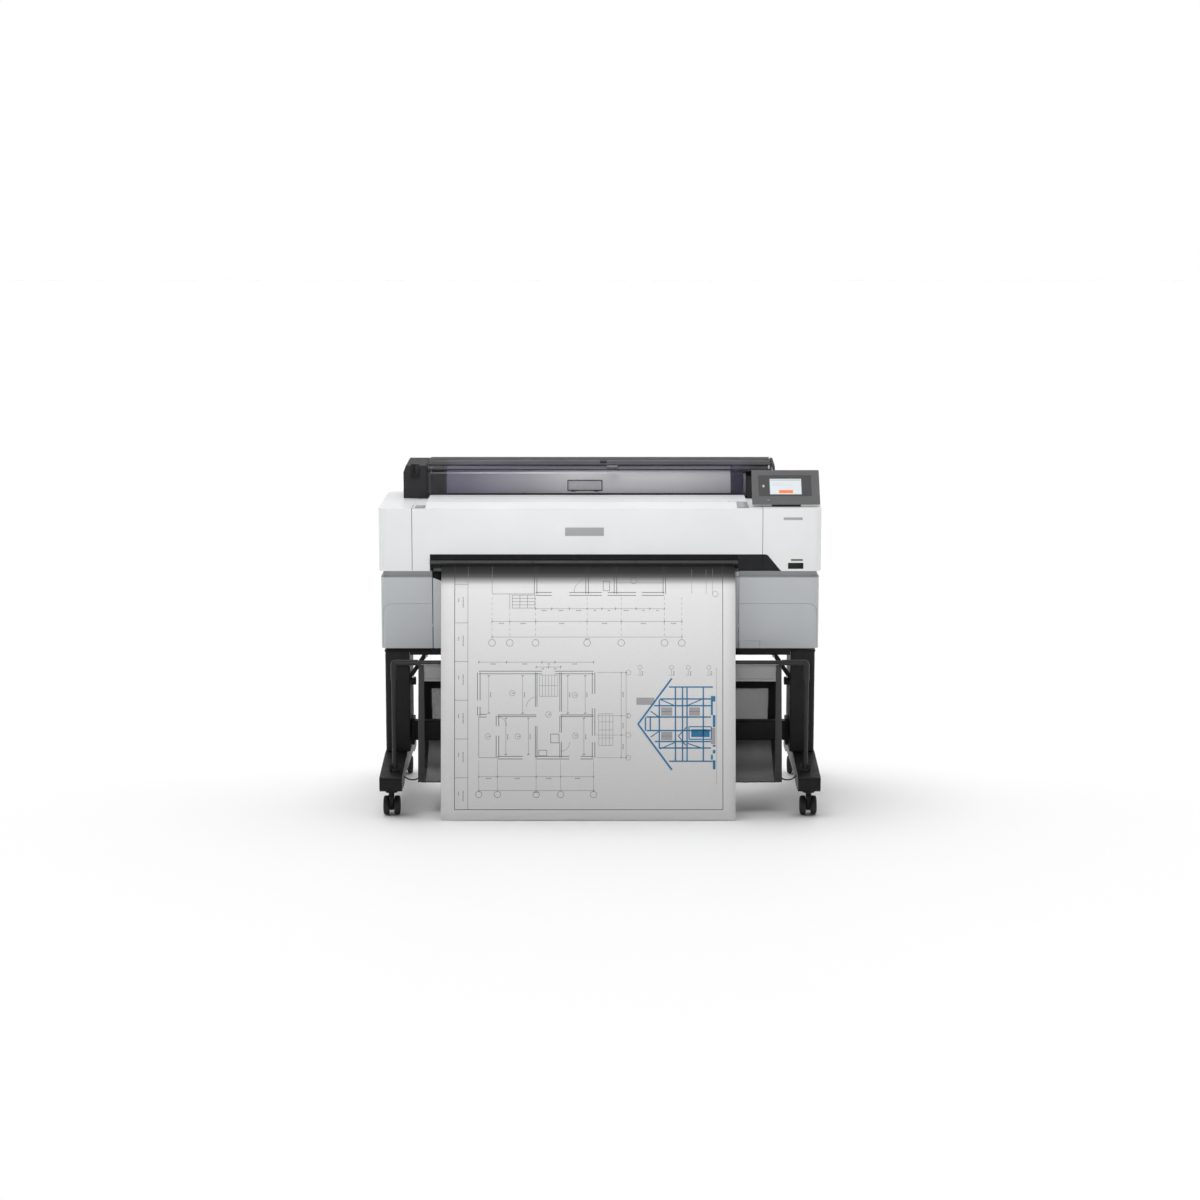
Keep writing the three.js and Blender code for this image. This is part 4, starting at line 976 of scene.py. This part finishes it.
# ---- Drawing printed on the sheet ----------------------------------------------------------------
class Drawing:
    """Printed strips in sheet measures: x across, and v down from the lip of the exit."""

    def __init__(self, route):
        self.route = route
        self.strips = {"pale": [], "black": [], "grey": [], "blue": []}

    def line(self, ink_name, a, b, width=0.0013):
        a, b = Vector(a), Vector(b)
        side = (b - a).orthogonal().normalized() * width / 2
        self.strips[ink_name].append((a - side, a + side, b - side, b + side))

    def lines(self, ink_name, points, width=0.0013):
        for a, b in zip(points, points[1:]):
            self.line(ink_name, a, b, width)

    def frame(self, ink_name, x0, v0, x1, v1, width=0.0013):
        self.lines(ink_name, [(x0, v0), (x1, v0), (x1, v1), (x0, v1), (x0, v0)], width)

    def fill(self, ink_name, x0, v0, x1, v1):
        self.line(ink_name, ((x0 + x1) / 2, v0), ((x0 + x1) / 2, v1), x1 - x0)

    def wall(self, a, b, thick=0.008):
        """The two thin faces of a wall."""
        a, b = Vector(a), Vector(b)
        side = (b - a).orthogonal().normalized() * thick / 2
        for way in (-1, 1):
            self.line("black", a + side * way, b + side * way, 0.0017)

    def arc(self, ink_name, x, v, radius, start=0, stop=360, width=0.0010, steps=16):
        angles = [math.radians(start + (stop - start) * k / steps) for k in range(steps + 1)]
        self.lines(ink_name, [(x + radius * math.cos(a), v + radius * math.sin(a)) for a in angles], width)

    def figures(self, x, v, count=4, upright=False):
        """A short row of dashes that stands for a dimension's figures."""
        for k in range(count):
            shift = (k - (count - 1) / 2) * 0.0042
            a = (x + shift, v) if not upright else (x, v + shift)
            b = (a[0] + 0.0024, a[1]) if not upright else (a[0], a[1] + 0.0024)
            self.line("grey", a, b, 0.0030)

    def measure(self, level, stops, upright=False, figures=True):
        """A dimension line at one level with a tick at each stop and figures between them."""
        def place(along, across):
            return (across, along) if upright else (along, across)
        self.line("grey", place(stops[0], level), place(stops[-1], level), 0.0010)
        tick = 0.0022
        for stop in stops:
            self.line("grey", place(stop, level - 0.005), place(stop, level + 0.005), 0.0010)
            self.line("black", place(stop - tick, level + tick), place(stop + tick, level - tick), 0.0014)
        if figures:
            for a, b in zip(stops, stops[1:]):
                x, v = place((a + b) / 2, level + 0.0055)
                self.figures(x, v, 4 if b - a > 0.05 else 2, upright)

    def build(self):
        materials = {"pale": PRINT_PALE, "black": PRINT_BLACK, "grey": PRINT_GREY, "blue": PRINT_BLUE}
        for order, (ink_name, strips) in enumerate(self.strips.items()):
            vertices, faces = [], []
            for a0, a1, b0, b1 in strips:
                length = ((b0 + b1) / 2 - (a0 + a1) / 2).length
                curved = min(a0.y, b0.y) < BEND_RUN
                steps = max(1, math.ceil(length / 0.010)) if curved else 1
                for k in range(steps + 1):
                    for p in (a0.lerp(b0, k / steps), a1.lerp(b1, k / steps)):
                        point = self.route.at(p.y + DRAWING_SHIFT, PAPER_THICK + INK_STEP * order)
                        vertices.append((p.x, point.y, point.z))
                    if k:
                        n = len(vertices)
                        faces.append((n - 4, n - 3, n - 1, n - 2))
            name = f"plot_print_{ink_name}"
            printed = new_piece(name, mesh_from(name, vertices, faces), materials[ink_name], None, "paper")
            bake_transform(printed)


def draw_border(drawing):
    left, strip, right, foot = -0.451, -0.410, 0.381, 0.759
    drawing.line("black", (left, -0.02), (left, foot), 0.0018)
    drawing.line("black", (right, -0.02), (right, foot), 0.0018)
    drawing.line("black", (left, foot), (right, foot), 0.0018)
    drawing.line("grey", (strip, -0.02), (strip, foot), 0.0012)
    for k in range(6):
        v = 0.060 + 0.120 * k
        drawing.line("grey", (left, v), (strip, v), 0.0012)
        drawing.figures((left + strip) / 2 + 0.006, v + 0.055, 8, upright=True)
        drawing.figures((left + strip) / 2 - 0.008, v + 0.048, 3, upright=True)


AXES = (-0.335, -0.280, -0.200, -0.040, 0.066, 0.200, 0.254)


def draw_upper_plan(drawing):
    """The lower edge of a plan that is still in the machine, with its axes and dimensions."""
    foot = 0.090
    walls_left, walls_right = AXES[2], AXES[5]
    for a, b in ((-0.200, -0.150), (-0.095, 0.006), (0.024, 0.112), (0.130, 0.200)):
        drawing.wall((a, foot), (b, foot), 0.009)
    for x in (walls_left, -0.040, 0.048, walls_right):
        drawing.wall((x, -0.02), (x, foot), 0.008)
    drawing.lines("grey", [(-0.335, -0.02), (-0.335, foot), (-0.280, foot), (-0.280, foot + 0.044)])
    drawing.line("grey", (-0.280, foot), (walls_left, foot))
    drawing.line("grey", (walls_left, 0.040), (-0.040, 0.040))
    drawing.line("grey", (0.048, 0.055), (walls_right, 0.055))
    drawing.frame("black", 0.010, 0.050, 0.030, 0.080)
    drawing.arc("black", 0.105, 0.048, 0.010)
    drawing.arc("grey", -0.040, foot - 0.006, 0.040, 180, 270)
    for k in range(5):
        v = foot + 0.004 + 0.010 * k
        drawing.line("grey", (-0.272, v), (-0.202, v))
    for k in range(4):
        x = -0.272 + 0.0233 * k
        drawing.line("grey", (x, foot + 0.004), (x, foot + 0.044))
    drawing.measure(0.136, [-0.200, -0.150, -0.095, -0.040, 0.006, 0.048, 0.112, 0.155, 0.200])
    drawing.measure(0.176, list(AXES))
    drawing.measure(0.224, [AXES[0], AXES[-1]])
    for x in AXES:
        for k in range(8):
            drawing.line("grey", (x, 0.100 + 0.016 * k), (x, 0.109 + 0.016 * k), 0.0008)
        drawing.arc("grey", x, 0.242, 0.0105, width=0.0013)
    for x in (0.285, 0.330, 0.350):
        drawing.line("grey", (x, 0.005), (x, foot), 0.0009)
    drawing.arc("grey", 0.358, foot, 0.009)


def draw_floor_plan(drawing):
    """A ground floor of the builder's own design: rooms off a hall, with a stair."""
    left, hall, stair, right = -0.376, -0.198, -0.122, -0.020
    porch, head, middle, foot = -0.318, 0.334, 0.468, 0.598
    for a, b in (((left, head), (-0.180, head)), ((-0.140, head), (right, head)),
                 ((left, head), (left, 0.420)), ((left, 0.440), (left, middle)),
                 ((left, middle), (-0.352, middle)),
                 ((porch, middle), (porch, 0.500)), ((porch, 0.530), (porch, foot)),
                 ((porch, foot), (-0.240, foot)), ((-0.200, foot), (-0.095, foot)),
                 ((-0.060, foot), (right, foot)), ((right, head), (right, 0.400)),
                 ((right, 0.445), (right, 0.530)), ((right, 0.550), (right, foot))):
        drawing.wall(a, b, 0.008)
    for a, b in (((porch, middle), (hall, middle)), ((stair, middle), (right, middle)),
                 ((hall, head), (hall, 0.440)), ((hall, 0.500), (hall, foot)),
                 ((stair, head), (stair, 0.455)), ((stair, 0.468), (stair, 0.520)),
                 ((stair, 0.550), (stair, foot))):
        drawing.wall(a, b, 0.005)
    drawing.lines("grey", [(left, middle), (left, foot), (porch, foot)])
    for k in range(7):
        drawing.line("grey", (-0.188 + 0.0095 * k, 0.342), (-0.188 + 0.0095 * k, 0.408), 0.0009)
    for v in (0.342, 0.375, 0.408):
        drawing.line("grey", (-0.188, v), (-0.131, v), 0.0009)
    for k in range(5):
        x = -0.004 + 0.011 * k
        drawing.line("grey", (x, 0.462), (x, 0.560), 0.0009)
    for v in (0.462, 0.487, 0.512, 0.537, 0.560):
        drawing.line("grey", (-0.004, v), (0.040, v), 0.0009)
    drawing.frame("black", -0.153, 0.525, -0.127, 0.552, 0.0015)
    drawing.frame("black", -0.190, 0.575, -0.165, 0.592)
    drawing.arc("grey", hall, 0.440, 0.030, 180, 270)
    drawing.arc("grey", stair, 0.550, 0.028, 0, 90)
    drawing.arc("grey", porch, 0.500, 0.028, 270, 360)
    for x, v in ((-0.272, 0.398), (-0.078, 0.404), (-0.255, 0.532), (-0.076, 0.530), (-0.160, 0.464),
                 (-0.348, 0.532)):
        drawing.arc("grey", x, v, 0.0085)
        drawing.figures(x + 0.001, v, 2)
    for x in (-0.345, -0.240, -0.100, -0.046):
        drawing.measure(x, [head + 0.010, middle - 0.008], upright=True)
    for x in (-0.292, -0.222, -0.050):
        drawing.measure(x, [middle + 0.008, foot - 0.010], upright=True)
    drawing.measure(0.302, [left, -0.290, -0.180, -0.140, right])
    drawing.measure(0.317, [hall, -0.160, stair])
    drawing.measure(0.066, [head, middle, 0.528, foot], upright=True)
    drawing.measure(0.081, [head, foot], upright=True)
    for v in (head, middle, 0.528, foot):
        drawing.line("grey", (-0.010, v), (0.078, v), 0.0008)
        drawing.arc("grey", 0.088, v, 0.0075)
    drawing.measure(0.657, [left, porch, hall, stair, right])
    drawing.measure(0.700, [left, right])
    for x in (left, porch, hall, stair, right):
        drawing.line("grey", (x, foot + 0.008), (x, 0.700), 0.0008)
        drawing.arc("grey", x, 0.712, 0.0100, width=0.0013)


def draw_elevation(drawing):
    """A half-timbered gable, turned on its side, in blue."""
    apex, eaves, ground = 0.118, 0.223, 0.350
    axis, half = 0.494, 0.115
    post, brace = 0.0042, 0.0032
    for way in (-1, 1):
        drawing.line("blue", (apex, axis), (eaves, axis + way * (half + 0.027)), 0.0056)
        drawing.line("blue", (eaves - 0.009, axis + way * half), (ground, axis + way * half), post)
        drawing.line("blue", (0.157, axis + way * 0.040), (0.183, axis + way * 0.022), brace)
        drawing.line("blue", (0.186, axis + way * 0.077), (0.234, axis + way * 0.056), brace)
    for level, start in ((-0.078, 0.186), (-0.057, 0.168), (-0.022, 0.144), (0.020, 0.145), (0.054, 0.170),
                         (0.074, 0.186)):
        drawing.line("blue", (start, axis + level), (ground - 0.006, axis + level), post)
    for x, reach in ((0.141, 0.021), (0.156, 0.021), (0.184, 0.076), (0.234, half), (0.256, half),
                     (0.270, half), (0.3205, half)):
        drawing.line("blue", (x, axis - reach), (x, axis + reach), post)
    drawing.line("blue", (0.272, axis - 0.058), (0.316, axis - 0.077), brace)
    drawing.line("blue", (0.272, axis + 0.060), (0.312, axis + 0.073), brace)
    for x, v in ((0.190, 0.442), (0.276, 0.442), (0.190, 0.518)):
        drawing.fill("pale", x, v, x + 0.034, v + 0.026)
        drawing.line("grey", (x, v + 0.013), (x + 0.034, v + 0.013), 0.0018)
    drawing.frame("blue", 0.276, 0.502, 0.345, 0.541, brace)
    drawing.fill("blue", 0.283, 0.510, 0.340, 0.534)
    drawing.lines("blue", [(0.270, 0.502), (0.243, 0.531), (0.266, 0.560)], brace)
    deep, wide = 0.008, 0.006
    for x, depth, start, stop in ((ground - wide, wide + deep, 0.407, 0.424),
                                  (ground - wide, wide, 0.424, 0.466),
                                  (ground, deep, 0.466, 0.503), (ground, deep, 0.558, 0.564),
                                  (ground, deep, 0.574, 0.585), (ground - wide, wide, 0.589, 0.604),
                                  (ground, deep, 0.606, 0.634)):
        drawing.fill("blue", x, start, x + depth, stop)
    drawing.fill("pale", ground - wide, 0.505, ground + deep, 0.556)
    drawing.fill("pale", 0.114, 0.413, 0.168, 0.433)
    drawing.frame("grey", 0.114, 0.413, 0.168, 0.433, 0.0010)
    for x in (0.124, 0.222, 0.274, 0.338):
        drawing.arc("grey", x, 0.318, 0.0062)
        drawing.line("grey", (x, 0.326), (x, 0.340), 0.0010)
        drawing.figures(x + 0.007, 0.334, 3, upright=True)
        drawing.line("grey", (x - 0.008, 0.342), (x + 0.010, 0.342), 0.0010)
    drawing.line("grey", (0.362, 0.318), (0.362, 0.680), 0.0008)


def make_drawing(route):
    drawing = Drawing(route)
    draw_border(drawing)
    draw_upper_plan(drawing)
    draw_floor_plan(drawing)
    draw_elevation(drawing)
    drawing.build()


# ---- Paper basket --------------------------------------------------------------------------------
BAG_PROFILE = [(-0.251, 0.097), (-0.160, 0.097), (-0.065, 0.102), (0.030, 0.112), (0.092, 0.128),
               (0.128, 0.152), (0.146, 0.190), (0.158, 0.275), (0.171, 0.372)]
BAG_ROWS, BAG_COLUMNS = 44, 80
BAG_HALF_FRONT, BAG_HALF_REAR = 0.561, 0.582
BAG_SLACK = 0.012
BAG_BEND = 0.62  # share of the sling that is its floor
SAG_LIMIT = 0.014
SETTLE_FRAMES = 26
FABRIC_THICK = 0.0008


def along_line(points, t):
    """The point a share t of the way along a line of (y, z) points."""
    runs = [math.dist(a, b) for a, b in zip(points, points[1:])]
    left = t * sum(runs)
    for (a, b), run in zip(zip(points, points[1:]), runs):
        if left <= run + 1e-9:
            return tuple(p + (q - p) * left / run for p, q in zip(a, b))
        left -= run
    return points[-1]


def settle(name, mesh, held, slack, furthest):
    """Lets cloth held at some of its points sag under its own weight, no further than a given distance."""
    start = [v.co.copy() for v in mesh.vertices]
    carrier = bpy.data.objects.new(name + "_carrier", mesh)
    bpy.context.collection.objects.link(carrier)
    carrier.vertex_groups.new(name="held").add(held, 1.0, "REPLACE")
    cloth = carrier.modifiers.new("cloth", "CLOTH")
    cloth.settings.quality = 6
    cloth.settings.mass = 0.20
    cloth.settings.tension_stiffness = cloth.settings.compression_stiffness = 30.0
    cloth.settings.shear_stiffness = 12.0
    cloth.settings.bending_stiffness = 0.4
    cloth.settings.air_damping = 2.5
    cloth.settings.shrink_min = -slack
    cloth.settings.vertex_group_mass = "held"
    cloth.collision_settings.use_collision = False
    cloth.point_cache.frame_start = 1
    cloth.point_cache.frame_end = SETTLE_FRAMES
    for frame_number in range(1, SETTLE_FRAMES + 1):
        bpy.context.scene.frame_set(frame_number)
    evaluated = carrier.evaluated_get(bpy.context.evaluated_depsgraph_get())
    settled = bpy.data.meshes.new_from_object(evaluated)
    bpy.data.objects.remove(carrier)
    bpy.context.scene.frame_set(1)
    for vertex, origin in zip(settled.vertices, start):
        moved = vertex.co - origin
        if moved.length > furthest:
            vertex.co = origin + moved.normalized() * furthest
    return settled


def grid_part(name, mesh, columns, wanted):
    """A copy of some cells of a settled grid; wanted(column, row) chooses them."""
    bm = bmesh.new()
    bm.from_mesh(mesh)
    bm.faces.ensure_lookup_table()
    unwanted = [f for f in bm.faces if not wanted(f.index % columns, f.index // columns)]
    bmesh.ops.delete(bm, geom=unwanted, context="FACES")
    part = bpy.data.meshes.new(name)
    bm.to_mesh(part)
    bm.free()
    return part


def cloth_piece(name, mesh, material, thick, slot, body=None):
    piece = new_piece(name, mesh, material, body, slot, 70.0)
    thicken(piece, thick)
    return piece


def make_bag():
    """Floor and rear panel of the basket in one sling, with a taped edge and a see-through panel."""
    def place(u, v):
        y, z = along_line(BAG_PROFILE, v)
        half = BAG_HALF_FRONT + (BAG_HALF_REAR - BAG_HALF_FRONT) * v
        return ((2 * u - 1) * half, y, z)

    rows, columns = BAG_ROWS, BAG_COLUMNS
    bend = round(rows * BAG_BEND)
    mesh = grid_mesh("basket_sling", rows, columns, place)
    held = [j * (columns + 1) + i for j in range(rows + 1) for i in range(columns + 1)
            if i in (0, columns) or j in (0, bend, rows)]
    settled = settle("basket_sling", mesh, held, BAG_SLACK, SAG_LIMIT)
    last_column = columns - 1
    window_foot, window_top = bend + 4, rows - 5

    def window(i, j):
        return window_foot <= j <= window_top and 2 <= i <= last_column - 2

    def tape(i, j):
        edge = i in (0, last_column) or j == 0
        return edge or (j >= bend + 2 and not window(i, j))

    cloth = grid_part("basket_sling", settled, columns, lambda i, j: not window(i, j))
    sling = cloth_piece("basket_sling", cloth, FABRIC, FABRIC_THICK, "basket_fabric", "base")
    border = cloth_piece("basket_tape", grid_part("basket_tape", settled, columns, tape),
                         TAPE, FABRIC_THICK + 0.0016, "basket_fabric", "base")
    film = cloth_piece("basket_window", grid_part("basket_window", settled, columns, window),
                       WINDOW, FABRIC_THICK, "basket_fabric", "base")
    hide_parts("basket_bag")


def make_front_band():
    """The grey band under the rod and the two dark straps that carry the floor's front edge."""
    low, high = FRONT_LOW, FRONT_HIGH
    y = (low.y + high.y) / 2
    band_low, band_half, rows, columns = 0.4195, 0.5475, 6, 96

    def band_place(u, v):
        ripple = 0.0010 * math.sin(23.0 * u) * v + 0.0006 * math.sin(61.0 * u + 1.0) * v
        return ((2 * u - 1) * band_half, y + ripple, high.z - (high.z - band_low) * v)

    band = cloth_piece("basket_band", grid_mesh("basket_band", rows, columns, band_place), BAND,
                       FABRIC_THICK, "basket_fabric")
    hem_mesh = grid_part("basket_band_hem", band.data, columns, lambda i, j: j == rows - 1)
    hem = cloth_piece("basket_band_hem", hem_mesh, BAND, FABRIC_THICK + 0.0010, "basket_fabric")
    straps = []
    for side, way in (("left", -1), ("right", 1)):
        inner, outer_top, outer_foot = 0.5478, 0.5650, 0.5700

        def strap_place(u, v):
            outer = outer_top + (outer_foot - outer_top) * v
            belly = 0.0012 * math.sin(math.pi * v) * math.sin(math.pi * u)
            return (way * (inner + (outer - inner) * u), y - belly, high.z - (high.z - low.z) * v)

        strap_mesh = grid_mesh(f"basket_{side}_strap", 40, 6, strap_place)
        straps.append(cloth_piece(f"basket_{side}_strap", strap_mesh, WEBBING, 0.0016, "basket_fabric"))
        edge = grid_part(f"basket_{side}_strap_hem", strap_mesh, 6, lambda i, j: i == 0 and j < 28)
        straps.append(cloth_piece(f"basket_{side}_strap_hem", edge, WEBBING, 0.0024, "basket_fabric"))
    for piece in [band, hem, *straps]:
        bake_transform(piece)
    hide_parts("basket_front")


# ---- Studio --------------------------------------------------------------------------------------
def soft_sun(name, way, spread, strength):
    """A distant softbox: light from the direction way, with a wide disc for soft shadows."""
    data = bpy.data.lights.new(name, "SUN")
    data.angle = math.radians(spread)
    data.energy = strength
    light = bpy.data.objects.new(name, data)
    light.rotation_euler = Vector(way).to_track_quat("Z", "Y").to_euler()
    bpy.context.collection.objects.link(light)


def front_key():
    """A wide, flagged softbox in front: full on the casing and fading out towards the floor."""
    data = bpy.data.lights.new("front_key", "SPOT")
    data.energy = 380
    data.spot_size = math.radians(20)
    data.spot_blend = 1.0
    data.shadow_soft_size = 0.35
    light = bpy.data.objects.new("front_key", data)
    light.location = (-0.3, -5.0, 1.75)
    light.rotation_euler = (Vector((0.0, -0.2, 1.05)) - light.location).to_track_quat("-Z", "Y").to_euler()
    light.scale = (2.4, 1.0, 1.0)
    bpy.context.collection.objects.link(light)


def make_world():
    """A white studio whose front sky, above the horizon, is dim so that the faces keep their shape."""
    world = bpy.data.worlds.new("studio")
    world.use_nodes = True
    tree = world.node_tree
    split = tree.nodes.new("ShaderNodeSeparateXYZ")
    tree.links.new(tree.nodes.new("ShaderNodeTexCoord").outputs["Generated"], split.inputs[0])

    def map_range(socket, low, high, start, stop):
        made = tree.nodes.new("ShaderNodeMapRange")
        values = (("From Min", low), ("From Max", high), ("To Min", start), ("To Max", stop))
        for key, value in values:
            made.inputs[key].default_value = value
        tree.links.new(split.outputs[socket], made.inputs["Value"])
        return made.outputs["Result"]

    brightness = tree.nodes.new("ShaderNodeMix")
    tree.links.new(map_range("Z", 0.05, 0.16, 0.0, 1.0), brightness.inputs[0])
    brightness.inputs[2].default_value = 1.0
    tree.links.new(map_range("Y", -0.45, 0.10, 0.04, 1.0), brightness.inputs[3])
    tree.links.new(brightness.outputs[0], tree.nodes["Background"].inputs["Strength"])
    tree.nodes["Background"].inputs["Color"].default_value = (1.0, 1.0, 1.0, 1.0)
    bpy.context.scene.world = world


def make_studio():
    bpy.context.scene.view_settings.view_transform = "Standard"
    make_world()
    corners = [(-30, -20, 0), (30, -20, 0), (30, 40, 0), (-30, 40, 0)]
    floor_mesh = mesh_from("studio_floor", corners, [(0, 1, 2, 3)])
    floor = bpy.data.objects.new("studio_floor", floor_mesh)
    bpy.context.collection.objects.link(floor)
    floor_mesh.materials.append(Shader("studio_floor", (0.97, 0.97, 0.97), 0.7).material)
    soft_sun("top", (-0.15, 0.05, 1.0), 50.0, 1.30)
    front_key()


make_camera()
make_studio()
dress_nodes()
make_wheels()
make_upper_details()
make_exit_details()
make_lid_details()
make_roll()
make_housing_details()
make_casing_seams()
make_fasteners()
make_rear_vents()
make_panel_details()
make_drawing(make_sheet())
make_bag()
make_front_band()
